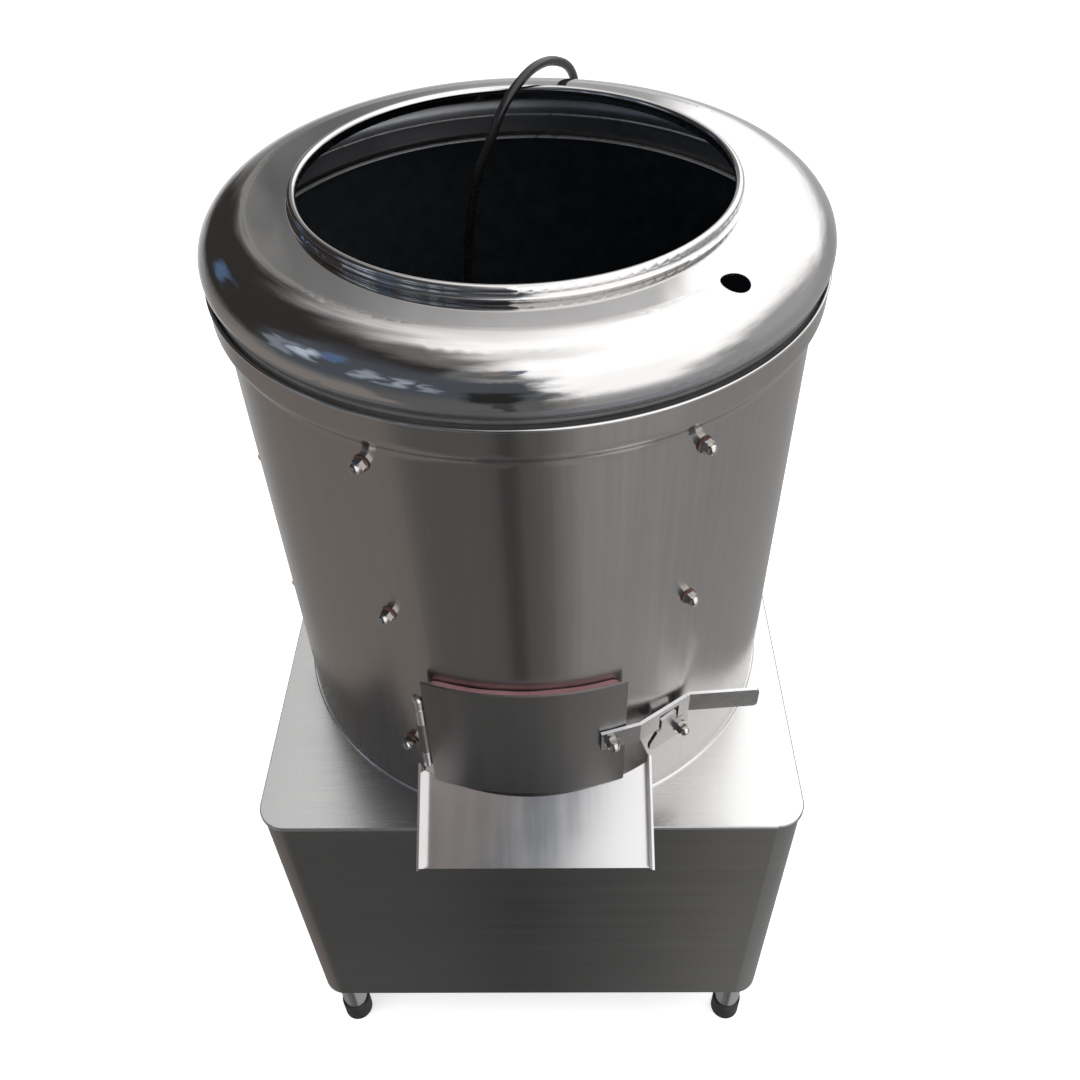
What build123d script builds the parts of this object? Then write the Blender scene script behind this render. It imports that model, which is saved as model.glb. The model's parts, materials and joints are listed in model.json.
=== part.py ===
from build123d import *
import math
import os

os.makedirs("parts", exist_ok=True)

# Potato peeling machine. Millimetres, +Z up, origin on the floor under the drum's axis.
# The operator stands on the -Y side, in front of the discharge door.

# Drum
drum_radius = 230
drum_wall = 2
drum_height = 445
lip_band = 18
neck_rise = 18
lip_flare = 7
lip_edge = 0.9
base_ring_width = 2.5
base_ring_height = 2.5
floor_thickness = 2.5
wall_clearance = 0.2
weld_gap = 0.1
lip_radius = drum_radius + lip_flare
neck_top = drum_height - lip_band
neck_start = neck_top - neck_rise

# Plate and cabinet, as far out from the drum as their margins say
leg_height = 90
cabinet_height = 360
cabinet_corner = 25
cabinet_wall = 2
top_flange = 16
bottom_flange = 44
plate_side_margin = 20
plate_front_margin = 15
plate_lap = 2
plate_thickness = 4
plate_edge = 1
overrun = 5
plate_width = 2 * (drum_radius + plate_side_margin)
plate_depth = 2 * (drum_radius + plate_front_margin)
plate_corner = cabinet_corner + plate_lap
cabinet_width = plate_width - 2 * plate_lap
cabinet_depth = plate_depth - 2 * plate_lap

# Legs
leg_diameter = 28
leg_wall = 2
leg_inset_x = 26
leg_inset_y = 22
ferrule_diameter = 32
ferrule_height = 29
ferrule_sole = 5
ferrule_clearance = 0.1

# Rear panel
panel_side_margin = 98
panel_height = 200
panel_width = cabinet_width - 2 * panel_side_margin
panel_thickness = 1.5
panel_lap = 12
panel_offset_x = -60
panel_above_base = 150
panel_screw_radius = 4.5
panel_screw_head = 2.5

# Discharge port, door and gasket
port_width = 146
port_height = 122
port_sill = 52
port_corner = 8
door_side_lap = 10
door_top_lap = 8
door_foot_lap = 6
door_width = port_width + 2 * door_side_lap
door_height = port_height + door_top_lap + door_foot_lap
door_sill = port_sill - door_foot_lap
door_thickness = 2
gasket_thickness = 5.7
gasket_clearance = 0.3

# Door hinge
knuckle_radius = 4
hinge_clearance = 0.5
hinge_pin_radius = 2.4
pin_clearance = 0.05
hinge_stand = 7.5
hinge_axis_radius = drum_radius + hinge_stand
lower_knuckle = (68, 88)
middle_knuckle = (88.4, 126.6)
upper_knuckle = (127, 144)
leaf_width = 9
leaf_thickness = 1.5
leaf_sill = 77
leaf_top = 150
leaf_web = 4
ring_height = 3
ring_radius = 4.2
finial_collar_height = 4
finial_collar_radius = 3.6
finial_radius = 4.2

# Liner and its fasteners
liner_thickness = 4.5
liner_drop = 13
liner_top = drum_height - liner_drop
liner_sill = 5
nut_columns = 6
first_column_angle = -26.2
lip_row_drop = 49
nut_rows = (84, 247, drum_height - lip_row_drop)
nut_flats = 10
nut_height = 5.5
dome_radius = 4.5
washer_radius = 6.4
washer_thickness = 1.2

# Hood
sheet = 1.5
hood_gap = 5.5
hood_edge = 0.7
hood_lip_step = 3
bulge_overhang = 7.5
hood_lip_radius = drum_radius + hood_lip_step
bulge_radius = drum_radius + bulge_overhang
bulge_height = 11.5
shoulder_inset = 33
shoulder_radius = drum_radius - shoulder_inset
dome_height = 42.5
rim_fillet = 4
rim_bead_radius = 3.4
rim_bead_height = 6
feed_inset = 69.6
rim_neck_width = 4.6
spigot_step = 0.5
feed_radius = drum_radius - feed_inset
rim_neck_radius = feed_radius + rim_neck_width
spigot_radius = drum_radius - spigot_step
spigot_depth = 14
inlet_radius = 10
inlet_angle = 44.3
inlet_inset = 24
seal_clearance = 0.4
inlet_ring_radius = drum_radius - inlet_inset
seal_radius = lip_radius - drum_wall - seal_clearance

# Latch, its places measured round the drum
latch_arc = 68.64
latch_angle = math.degrees(latch_arc / drum_radius)
latch_height = 114
lever_thickness = 3
lever_width = 22
lever_standoff = 0.8
lever_tail = 9
lever_arm = 25
lever_crank_length = 54
lever_crank_angle = 18.4
lever_handle_length = 60.6
lever_handle_angle = 31
lever_corner = 4
notch_start = 45
notch_end = 65
notch_depth = 17
pivot_radius = 3
pivot_clearance = 0.08
spacer_radius = 8
catch_arc = 142.5
catch_angle = math.degrees(catch_arc / drum_radius)
catch_bolt_back = 6.8
catch_thickness = 3
catch_standoff = 4.4
catch_boss_radius = 7
catch_nut_height = 87
catch_left = -40
catch_right = 2
catch_sill = 76
catch_shoulder = 97
catch_tab_left = -28.6
catch_tab_right = -13
catch_tab_top = 113.5
catch_cut = 4

# Chute
chute_width = 199
chute_offset = 5.7
chute_sheet = 2
chute_flange = 30
chute_slope = 32
chute_overhang = 36.9
chute_floor_height = 27.9
chute_rear_run = 45
chute_reach = (plate_front_margin + chute_overhang) / math.cos(math.radians(chute_slope))

# Turntable
disc_inset = 14
disc_radius = drum_radius - disc_inset
disc_thickness = 12
disc_top = 48
disc_edge = 3
ridge_count = 3
ridge_height = 11
ridge_inner_width = 34
ridge_outer_width = 62
ridge_start = 42
ridge_inset = 8
ridge_end = disc_radius - ridge_inset
hub_skirt_radius = 47
hub_skirt_inner = 39
hub_skirt_depth = 26
hub_boss_radius = 22
hub_nut_radius = 17
hub_nut_height = 10
hub_washer_radius = 21
hub_washer_thickness = 2
wiper_thickness = 6
wiper_gap = 3

# Shaft, bearings and housing
shaft_radius = 12.5
shaft_shoulder = 2.5
shaft_thread_radius = 10
housing_flange_radius = 72
housing_flange_thickness = 9
housing_radius = 39
neck_radius = 34
neck_height = 24
neck_clearance = 0.5
housing_depth = 200
bearing_outer_radius = 26
bearing_width = 15
race_gap = 0.4
seal_height = 7
bore_clearance = 1.5
housing_bolt_circle = 56
housing_bolt_count = 4
housing_bolt_head = 6
housing_bolt_flats = 16

# Belt drive
driven_pitch_radius = 135
motor_pitch_radius = 27
pulley_width = 20
pulley_rim = 4
groove_depth = 11
groove_top = 13
groove_bottom = 6.4
belt_clearance = 0.4
belt_height = 8
web_thickness = 6
web_hole_count = 5
web_hole_radius = 28
pulley_hub_radius = 26
rim_depth = 18
pulley_drop = 26
end_bolt_radius = 10
end_bolt_head = 5

# Motor
motor_side_distance = 106
motor_rear_distance = 103
motor_x = motor_side_distance - cabinet_width / 2
motor_y = cabinet_depth / 2 - motor_rear_distance
motor_radius = 66
motor_length = 130
motor_flange_radius = 78
motor_flange_thickness = 10
motor_fin_height = 6
motor_fin_width = 3
motor_fin_count = 20
motor_cap_height = 12
motor_shaft_radius = 9
motor_bore_clearance = 0.1
fan_radius = 56
fan_hub_radius = 14
fan_height = 16
fan_blade = 2.5
fan_blade_count = 6
fan_gap = 4
cover_wall = 1.5
cover_height = 32
cover_slot_count = 8
cover_slot_width = 6
terminal_box_width = 60
terminal_box_depth = 26
motor_plate_size = 172
motor_plate_thickness = 6
hanger_radius = 6
hanger_spacing = 150
hanger_nut_flats = 18
hanger_nut_height = 8

# Drain
drain_radius = 25
drain_wall = 2
drain_inset = 80
drain_offset = drum_radius - drain_inset
drain_bend = 45
drain_drop = 62
drain_stub = 55
drain_end = cabinet_depth / 2 + drain_stub
drain_clearance = 0.5

# Switch box and cord gland
switch_side_distance = 78
switch_drop = 100
switch_x = cabinet_width / 2 - switch_side_distance
switch_height = leg_height + cabinet_height - switch_drop
switch_width = 70
switch_length = 108
switch_depth = 26
switch_corner = 6
button_radius = 11
button_clearance = 0.5
button_length = 14
button_proud = 5
button_travel = 3
button_pitch = 46
button_collar = 3
gland_side_distance = 98
gland_above_base = 110
gland_x = cabinet_width / 2 - gland_side_distance
gland_height = leg_height + gland_above_base
gland_flats = 24
gland_nut_height = 6
gland_length = 24

# Cord and plug
cord_diameter = 8
cord_bend_share = 0.45
plug_relief_length = 26
plug_body_length = 34
plug_body_radius = 17
plug_waist_radius = 9
plug_pin_radius = 2.4
plug_pin_pitch = 19
plug_pin_length = 19

plate_top = leg_height + cabinet_height
plate_underside = plate_top - plate_thickness
drum_bore = drum_radius - drum_wall
lip_top = plate_top + drum_height
quarter_turn = 90


def turned_plane(angle, radius, height):
    """Plane that stands on the drum: its normal points outwards, its x runs round to the right."""
    turn = math.radians(angle)
    normal = (math.sin(turn), -math.cos(turn), 0)
    along = (math.cos(turn), math.sin(turn), 0)
    return Plane(origin=(radius * normal[0], radius * normal[1], height), x_dir=along, z_dir=normal)


# Cabinet shell: box of folded sheet with turned-in flanges above and below
with BuildPart() as cabinet_shell:
    with BuildSketch(Plane.XY.offset(leg_height)):
        RectangleRounded(cabinet_width, cabinet_depth, cabinet_corner)
    extrude(amount=cabinet_height - plate_thickness)
    with BuildSketch(Plane.XY.offset(leg_height + cabinet_wall)):
        RectangleRounded(
            cabinet_width - 2 * cabinet_wall,
            cabinet_depth - 2 * cabinet_wall,
            cabinet_corner - cabinet_wall,
        )
    extrude(amount=cabinet_height - plate_thickness - 2 * cabinet_wall, mode=Mode.SUBTRACT)
    with BuildSketch(Plane.XY.offset(leg_height - overrun)):
        Rectangle(cabinet_width - 2 * bottom_flange, cabinet_depth - 2 * bottom_flange)
    extrude(amount=cabinet_wall + 2 * overrun, mode=Mode.SUBTRACT)
    with BuildSketch(Plane.XY.offset(plate_underside - cabinet_wall - overrun)):
        RectangleRounded(cabinet_width - 2 * top_flange, cabinet_depth - 2 * top_flange, cabinet_corner)
    extrude(amount=cabinet_wall + 2 * overrun, mode=Mode.SUBTRACT)
    with BuildSketch(Plane.XZ.offset(-cabinet_depth / 2 - overrun)):
        with Locations((panel_offset_x, leg_height + panel_above_base)):
            RectangleRounded(panel_width - 2 * panel_lap, panel_height - 2 * panel_lap, panel_lap)
        with Locations((0, plate_top - drain_drop)):
            Circle(drain_radius + drain_clearance)
    extrude(amount=cabinet_wall + 2 * overrun, mode=Mode.SUBTRACT)
cabinet_shell.part.label = "cabinet_shell"
export_step(cabinet_shell.part, "parts/cabinet_shell.step")

# Top plate with a softened edge, and the holes for the bearing neck and the drain
with BuildPart() as top_plate:
    with BuildSketch(Plane.XY.offset(plate_underside)):
        RectangleRounded(plate_width, plate_depth, plate_corner)
        Circle(neck_radius + neck_clearance, mode=Mode.SUBTRACT)
        with Locations((0, drain_offset)):
            Circle(drain_radius + drain_clearance, mode=Mode.SUBTRACT)
    extrude(amount=plate_thickness)
    chamfer(top_plate.faces().sort_by(Axis.Z)[-1].outer_wire().edges(), plate_edge)
top_plate.part.label = "top_plate"
export_step(top_plate.part, "parts/top_plate.step")

leg_x = cabinet_width / 2 - leg_inset_x
leg_y = cabinet_depth / 2 - leg_inset_y
leg_places = [(side * leg_x, end * leg_y) for side in (-1, 1) for end in (-1, 1)]

# Legs: four tubes welded under the cabinet's bottom flange
with BuildPart() as legs:
    with BuildSketch(Plane.XY.offset(ferrule_sole)):
        with Locations(*leg_places):
            Circle(leg_diameter / 2)
            Circle(leg_diameter / 2 - leg_wall, mode=Mode.SUBTRACT)
    extrude(amount=leg_height - ferrule_sole)
legs.part.label = "legs"
export_step(legs.part, "parts/legs.step")

# Rubber ferrules: cups pushed over the legs' ends
with BuildPart() as leg_ferrules:
    with BuildSketch():
        with Locations(*leg_places):
            Circle(ferrule_diameter / 2)
    extrude(amount=ferrule_height)
    chamfer(leg_ferrules.edges().group_by(Axis.Z)[-1], ferrule_diameter / 2 - leg_diameter / 2 - plate_edge / 2)
    with BuildSketch(Plane.XY.offset(ferrule_sole)):
        with Locations(*leg_places):
            Circle(leg_diameter / 2 + ferrule_clearance)
    extrude(amount=ferrule_height, mode=Mode.SUBTRACT)
leg_ferrules.part.label = "leg_ferrules"
export_step(leg_ferrules.part, "parts/leg_ferrules.step")

# Rear service panel and its screws
rear_face = cabinet_depth / 2
panel_centre = (panel_offset_x, leg_height + panel_above_base)
with BuildPart() as rear_panel:
    with BuildSketch(Plane.XZ.offset(-rear_face)):
        with Locations(panel_centre):
            RectangleRounded(panel_width, panel_height, panel_lap)
    extrude(amount=-panel_thickness)
rear_panel.part.label = "rear_panel"
export_step(rear_panel.part, "parts/rear_panel.step")

panel_screw_places = [
    (panel_centre[0] + side * (panel_width - panel_lap) / 2, panel_centre[1] + level * (panel_height - panel_lap) / 2)
    for side in (-1, 1)
    for level in (-1, 0, 1)
]
with BuildPart() as rear_panel_screws:
    with BuildSketch(Plane.XZ.offset(-rear_face - panel_thickness)):
        with Locations(*panel_screw_places):
            Circle(panel_screw_radius)
    extrude(amount=-panel_screw_head)
    chamfer(rear_panel_screws.edges().group_by(Axis.Y)[-1], panel_screw_head / 3)
rear_panel_screws.part.label = "rear_panel_screws"
export_step(rear_panel_screws.part, "parts/rear_panel_screws.step")

# Drum shell: rolled cylinder with the discharge port cut through
with BuildPart() as drum_shell:
    with BuildSketch(Plane.XY.offset(plate_top)):
        Circle(drum_radius)
        Circle(drum_bore, mode=Mode.SUBTRACT)
    extrude(amount=neck_start)
    with BuildSketch(Plane.XZ):
        with Locations((0, plate_top + port_sill + port_height / 2)):
            RectangleRounded(port_width, port_height, port_corner)
    extrude(amount=drum_radius + overrun, mode=Mode.SUBTRACT)
drum_shell.part.label = "drum_shell"
export_step(drum_shell.part, "parts/drum_shell.step")

# Lip ring welded on the shell: its neck swells out in two arcs to an upright band with a rounded lip
neck_foot = plate_top + neck_start
neck_middle = (drum_radius + lip_flare / 2, neck_foot + neck_rise / 2)
with BuildPart() as drum_lip_ring:
    with BuildSketch(Plane.XZ):
        with BuildLine():
            TangentArc((drum_radius, neck_foot), neck_middle, tangent=(0, 1))
            band_line = Line((lip_radius, lip_top), (lip_radius, plate_top + neck_top))
            TangentArc(band_line @ 1, neck_middle, tangent=(0, -1))
            offset(amount=drum_wall, side=Side.LEFT, kind=Kind.INTERSECTION)
        make_face()
    revolve(axis=Axis.Z)
    fillet(drum_lip_ring.edges().group_by(Axis.Z)[-1], lip_edge)
drum_lip_ring.part.label = "drum_lip_ring"
export_step(drum_lip_ring.part, "parts/drum_lip_ring.step")

# Ring round the foot of the drum
with BuildPart() as drum_base_ring:
    with BuildSketch(Plane.XY.offset(plate_top)):
        Circle(drum_radius + base_ring_width)
        Circle(drum_radius, mode=Mode.SUBTRACT)
    extrude(amount=base_ring_height)
    chamfer(drum_base_ring.faces().sort_by(Axis.Z)[-1].outer_wire().edges(), base_ring_height / 3)
drum_base_ring.part.label = "drum_base_ring"
export_step(drum_base_ring.part, "parts/drum_base_ring.step")

# Drum floor pan on the top plate, open at the bearing neck and at the drain
with BuildPart() as drum_floor:
    with BuildSketch(Plane.XY.offset(plate_top)):
        Circle(drum_bore - wall_clearance)
        Circle(neck_radius + neck_clearance, mode=Mode.SUBTRACT)
        with Locations((0, drain_offset)):
            Circle(drain_radius - drain_wall, mode=Mode.SUBTRACT)
    extrude(amount=floor_thickness)
drum_floor.part.label = "drum_floor"
export_step(drum_floor.part, "parts/drum_floor.step")

# Abrasive liner: a sleeve inside the drum with the same port
liner_outer = drum_bore - wall_clearance
with BuildPart() as abrasive_liner:
    with BuildSketch(Plane.XY.offset(plate_top + liner_sill)):
        Circle(liner_outer)
        Circle(liner_outer - liner_thickness, mode=Mode.SUBTRACT)
    extrude(amount=liner_top - liner_sill)
    with BuildSketch(Plane.XZ):
        with Locations((0, plate_top + port_sill + port_height / 2)):
            RectangleRounded(port_width, port_height, port_corner)
    extrude(amount=drum_radius + overrun, mode=Mode.SUBTRACT)
abrasive_liner.part.label = "abrasive_liner"
export_step(abrasive_liner.part, "parts/abrasive_liner.step")


def nut_plane(angle, height, seat):
    return turned_plane(angle, seat, plate_top + height)


column_step = 360 / nut_columns
catch_face = drum_radius + catch_standoff + catch_thickness
nut_seats = [
    nut_plane(first_column_angle + column_step * column, row, drum_radius)
    for column in range(nut_columns)
    for row in nut_rows
    if not (column == 1 and row == nut_rows[0])
]
catch_bolt_plane = turned_plane(catch_angle, catch_face, plate_top + catch_nut_height).shift_origin(
    turned_plane(catch_angle, catch_face, plate_top + catch_nut_height).from_local_coords((-catch_bolt_back, 0, 0))
)


# One cap nut: washer, hexagon and dome, standing on its seat
with BuildPart() as cap_nut:
    with BuildSketch():
        Circle(washer_radius)
    extrude(amount=washer_thickness)
    with BuildSketch():
        RegularPolygon(nut_flats / 2, 6, major_radius=False)
    extrude(amount=washer_thickness + nut_height)
    with Locations((0, 0, washer_thickness + nut_height)):
        Sphere(dome_radius)

# Cap nuts of the liner studs
with BuildPart() as liner_nuts:
    with Locations(*nut_seats, catch_bolt_plane):
        add(cap_nut.part)
liner_nuts.part.label = "liner_nuts"
export_step(liner_nuts.part, "parts/liner_nuts.step")

# Hood: spun dome with a rolled rim, a bulge over the drum's lip and a spigot inside it
hood_foot = lip_top + hood_gap
bulge_level = hood_foot + bulge_height
dome_top = hood_foot + dome_height
rim_level = dome_top + rim_bead_height
rim_centre = feed_radius + rim_bead_radius
dome_rise = dome_top - bulge_level
bulge_run = bulge_radius - shoulder_radius
with BuildPart() as hood:
    with BuildSketch(Plane.XZ):
        with BuildLine():
            outer_bulge = EllipticalCenterArc(
                (shoulder_radius, bulge_level), bulge_run, dome_rise, start_angle=0, arc_size=quarter_turn
            )
            inner_bulge = EllipticalCenterArc(
                (shoulder_radius, bulge_level), bulge_run - sheet, dome_rise - sheet, start_angle=0, arc_size=quarter_turn
            )
            outer_foot = TangentArc(outer_bulge @ 0, (hood_lip_radius, hood_foot), tangent=(0, -1))
            inner_foot = TangentArc(
                inner_bulge @ 0, (hood_lip_radius - sheet, hood_foot + sheet), tangent=(0, -1)
            )
            Polyline(
                outer_foot @ 1,
                (spigot_radius, hood_foot),
                (spigot_radius, hood_foot - spigot_depth),
                (spigot_radius - sheet, hood_foot - spigot_depth),
                (spigot_radius - sheet, hood_foot + sheet),
                inner_foot @ 1,
            )
            rim_wall = Line((rim_neck_radius, rim_level), (rim_neck_radius, dome_top + rim_fillet))
            root = TangentArc(
                rim_wall @ 1, (rim_neck_radius + rim_fillet, dome_top), tangent=(0, -1)
            )
            Line(root @ 1, outer_bulge @ 1)
            Polyline(
                inner_bulge @ 1,
                (rim_neck_radius - sheet, dome_top - sheet),
                (rim_neck_radius - sheet, rim_level),
                rim_wall @ 0,
            )
        make_face()
    revolve(axis=Axis.Z)
    fillet(hood.edges().filter_by_position(Axis.Z, hood_foot, hood_foot).sort_by(SortBy.RADIUS)[-1], hood_edge)
    with BuildSketch(Plane.XZ):
        with Locations((rim_centre, rim_level)):
            Circle(rim_bead_radius)
    revolve(axis=Axis.Z)
    inlet_share = (inlet_ring_radius - shoulder_radius) / bulge_run
    inlet_level = bulge_level + dome_rise * math.sqrt(1 - inlet_share**2)
    inlet_lean = math.atan(dome_rise / bulge_run * inlet_share / math.sqrt(1 - inlet_share**2))
    inlet_turn = math.radians(inlet_angle)
    inlet_normal = (
        math.sin(inlet_turn) * math.sin(inlet_lean),
        -math.cos(inlet_turn) * math.sin(inlet_lean),
        math.cos(inlet_lean),
    )
    inlet_place = (
        inlet_ring_radius * math.sin(inlet_turn),
        -inlet_ring_radius * math.cos(inlet_turn),
        inlet_level,
    )
    with BuildSketch(Plane(origin=inlet_place, z_dir=inlet_normal).offset(overrun)):
        Circle(inlet_radius)
    extrude(amount=-3 * overrun, mode=Mode.SUBTRACT)
hood.part.label = "hood"
export_step(hood.part, "parts/hood.step")

# Rubber seal ring between the hood's spigot and the drum's lip
seal_foot = plate_top + neck_top + drum_wall
with BuildPart() as hood_seal:
    with BuildSketch(Plane.XY.offset(seal_foot)):
        Circle(seal_radius)
        Circle(spigot_radius + wall_clearance, mode=Mode.SUBTRACT)
    extrude(amount=hood_foot - seal_foot)
hood_seal.part.label = "hood_seal"
export_step(hood_seal.part, "parts/hood_seal.step")

# Door: plate curved to the drum, and the gasket frame behind it
door_outer = drum_radius + gasket_clearance + gasket_thickness + door_thickness
door_bottom = plate_top + door_sill
with BuildPart() as door_plate:
    with BuildSketch(Plane.XY.offset(door_bottom)):
        Circle(door_outer)
        Circle(door_outer - door_thickness, mode=Mode.SUBTRACT)
        Rectangle(door_width, door_outer + overrun, align=(Align.CENTER, Align.MAX), mode=Mode.INTERSECT)
    extrude(amount=door_height)
    with BuildSketch(turned_plane(latch_angle, drum_radius - overrun, plate_top + latch_height)):
        Circle(pivot_radius)
    extrude(amount=4 * overrun, mode=Mode.SUBTRACT)
door_plate.part.label = "door_plate"
export_step(door_plate.part, "parts/door_plate.step")

with BuildPart() as door_gasket:
    with BuildSketch(Plane.XY.offset(door_bottom)):
        Circle(door_outer - door_thickness)
        Circle(door_outer - door_thickness - gasket_thickness, mode=Mode.SUBTRACT)
        Rectangle(door_width, door_outer + overrun, align=(Align.CENTER, Align.MAX), mode=Mode.INTERSECT)
    extrude(amount=door_height)
    with BuildSketch(Plane.XZ):
        with Locations((0, plate_top + port_sill + port_height / 2)):
            RectangleRounded(port_width, port_height, port_corner)
    extrude(amount=door_outer + overrun, mode=Mode.SUBTRACT)
door_gasket.part.label = "door_gasket"
export_step(door_gasket.part, "parts/door_gasket.step")

# Hinge: axis just left of the door's edge
hinge_x = -(door_width / 2 + knuckle_radius + hinge_clearance)
hinge_y = -math.sqrt(hinge_axis_radius**2 - hinge_x**2)
hinge_angle = math.degrees(math.asin(hinge_x / hinge_axis_radius))
leaf_angle = math.degrees(leaf_width / drum_radius)

with BuildPart() as hinge_drum_leaf:
    with BuildSketch(Plane.XY.offset(plate_top + leaf_sill)):
        Circle(drum_radius + weld_gap + leaf_thickness)
        Circle(drum_radius + weld_gap, mode=Mode.SUBTRACT)
        with Locations(Location((0, 0, 0), (0, 0, hinge_angle))):
            Rectangle(leaf_width, door_outer, align=(Align.MAX, Align.MAX), mode=Mode.INTERSECT)
    extrude(amount=leaf_top - leaf_sill)
    for span in (lower_knuckle, upper_knuckle):
        with BuildSketch(Plane.XY.offset(plate_top + span[0])):
            with Locations((hinge_x, hinge_y)):
                Circle(knuckle_radius)
                Circle(hinge_pin_radius + pin_clearance, mode=Mode.SUBTRACT)
        extrude(amount=span[1] - span[0])
        with BuildSketch(Plane.XY.offset(plate_top + max(span[0], leaf_sill))):
            with Locations(Location((0, 0, 0), (0, 0, hinge_angle))):
                with Locations((0, -drum_radius - weld_gap)):
                    Rectangle(
                        leaf_web,
                        hinge_axis_radius - drum_radius - weld_gap - hinge_pin_radius - knuckle_radius / 4,
                        align=(Align.MAX, Align.MAX),
                    )
        extrude(amount=span[1] - max(span[0], leaf_sill))
hinge_drum_leaf.part.label = "hinge_drum_leaf"
export_step(hinge_drum_leaf.part, "parts/hinge_drum_leaf.step")

# Middle knuckle, welded to the door's edge by a short web
with BuildPart() as hinge_door_knuckle:
    with BuildSketch(Plane.XY.offset(plate_top + middle_knuckle[0])):
        with Locations((hinge_x, hinge_y)):
            Circle(knuckle_radius)
            with Locations((0, 0)):
                Rectangle(
                    knuckle_radius + hinge_clearance,
                    door_thickness,
                    align=(Align.MIN, Align.MAX),
                )
            Circle(hinge_pin_radius + pin_clearance, mode=Mode.SUBTRACT)
    extrude(amount=middle_knuckle[1] - middle_knuckle[0])
hinge_door_knuckle.part.label = "hinge_door_knuckle"
export_step(hinge_door_knuckle.part, "parts/hinge_door_knuckle.step")

# Hinge pin with a ring, a collar and a ball finial on top
finial_level = plate_top + upper_knuckle[1]
with BuildPart() as hinge_pin:
    with BuildSketch(Plane.XY.offset(plate_top + lower_knuckle[0])):
        with Locations((hinge_x, hinge_y)):
            Circle(hinge_pin_radius)
    extrude(amount=upper_knuckle[1] - lower_knuckle[0])
    with BuildSketch(Plane.XY.offset(finial_level)):
        with Locations((hinge_x, hinge_y)):
            Circle(ring_radius)
    extrude(amount=ring_height)
    with BuildSketch(Plane.XY.offset(finial_level + ring_height)):
        with Locations((hinge_x, hinge_y)):
            Circle(finial_collar_radius)
    extrude(amount=finial_collar_height)
    with BuildSketch(Plane.XY.offset(finial_level + ring_height + finial_collar_height)):
        with Locations((hinge_x, hinge_y)):
            Circle(ring_radius)
    extrude(amount=ring_height)
    with Locations((hinge_x, hinge_y, finial_level + 2 * ring_height + finial_collar_height + finial_radius / 2)):
        Sphere(finial_radius)
hinge_pin.part.label = "hinge_pin"
export_step(hinge_pin.part, "parts/hinge_pin.step")

# Latch pivot: stud in the door plate, spacer behind the lever, cap nut in front of it
lever_back = door_outer + lever_standoff
lever_face = lever_back + lever_thickness
pivot_seat = turned_plane(latch_angle, lever_face + pivot_clearance, plate_top + latch_height)
with BuildPart() as latch_pivot:
    with BuildSketch(turned_plane(latch_angle, door_outer - door_thickness, plate_top + latch_height)):
        Circle(pivot_radius)
    extrude(amount=door_thickness + lever_standoff + lever_thickness + nut_height)
    with BuildSketch(turned_plane(latch_angle, door_outer, plate_top + latch_height)):
        Circle(spacer_radius)
    extrude(amount=lever_standoff - pivot_clearance)
    with Locations(pivot_seat):
        add(cap_nut.part)
latch_pivot.part.label = "latch_pivot"
export_step(latch_pivot.part, "parts/latch_pivot.step")


def heading(length, angle):
    turn = math.radians(angle)
    return (length * math.cos(turn), length * math.sin(turn))


# Latch lever: flat bar cranked in to the drum and out again, seen from above in the pivot's frame
crank = heading(lever_crank_length, lever_crank_angle)
handle = heading(lever_handle_length, lever_crank_angle - lever_handle_angle)
lever_points = [
    (-lever_tail, -lever_back),
    (lever_arm, -lever_back),
    (lever_arm + crank[0], -lever_back + crank[1]),
    (lever_arm + crank[0] + handle[0], -lever_back + crank[1] + handle[1]),
]
lever_base = plate_top + latch_height - lever_width / 2
lever_plan = Plane(
    origin=(0, 0, lever_base),
    x_dir=turned_plane(latch_angle, 0, 0).x_dir,
    z_dir=(0, 0, 1),
)
with BuildPart() as latch_lever:
    with BuildSketch(lever_plan):
        with BuildLine():
            bar_back = Polyline(*lever_points)
            offset(bar_back, amount=lever_thickness, side=Side.RIGHT, kind=Kind.INTERSECTION)
        make_face()
    extrude(amount=lever_width)
    with BuildSketch(turned_plane(latch_angle, drum_radius / 2, lever_base)):
        with Locations(((notch_start + notch_end) / 2, 0)):
            Rectangle(notch_end - notch_start, 2 * notch_depth)
    extrude(amount=drum_radius, mode=Mode.SUBTRACT)
    with BuildSketch(turned_plane(latch_angle, drum_radius / 2, plate_top + latch_height)):
        Circle(pivot_radius + pivot_clearance)
    extrude(amount=drum_radius, mode=Mode.SUBTRACT)
    handle_end = latch_lever.faces().sort_by(Axis.X)[-1]
    fillet(handle_end.edges().filter_by(Axis.Z, reverse=True).filter_by(GeomType.LINE), lever_corner)
latch_lever.part.label = "latch_lever"
export_step(latch_lever.part, "parts/latch_lever.step")

# Catch plate: its tab stands in the lever's notch, its boss carries it on the drum
catch_outline = [
    (catch_right, catch_sill),
    (catch_right, catch_shoulder),
    (catch_tab_right + catch_cut, catch_shoulder + catch_cut),
    (catch_tab_right, catch_shoulder + catch_cut),
    (catch_tab_right, catch_tab_top),
    (catch_tab_left, catch_tab_top - catch_cut / 2),
    (catch_tab_left, catch_shoulder + catch_cut / 2),
    (catch_tab_left - catch_cut, catch_shoulder),
    (catch_left, catch_sill + 2.5 * catch_cut),
    (catch_left, catch_sill + catch_cut),
    (catch_left + catch_cut, catch_sill),
]
catch_plane = turned_plane(catch_angle, drum_radius + catch_standoff, plate_top)
with BuildPart() as catch_plate:
    with BuildSketch(catch_plane):
        with BuildLine():
            Polyline(*catch_outline, close=True)
        make_face()
    extrude(amount=catch_thickness)
    with BuildSketch(catch_plane):
        with Locations((-catch_bolt_back, catch_nut_height)):
            Circle(catch_boss_radius)
    extrude(amount=weld_gap - catch_standoff)
catch_plate.part.label = "catch_plate"
export_step(catch_plate.part, "parts/catch_plate.step")

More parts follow.
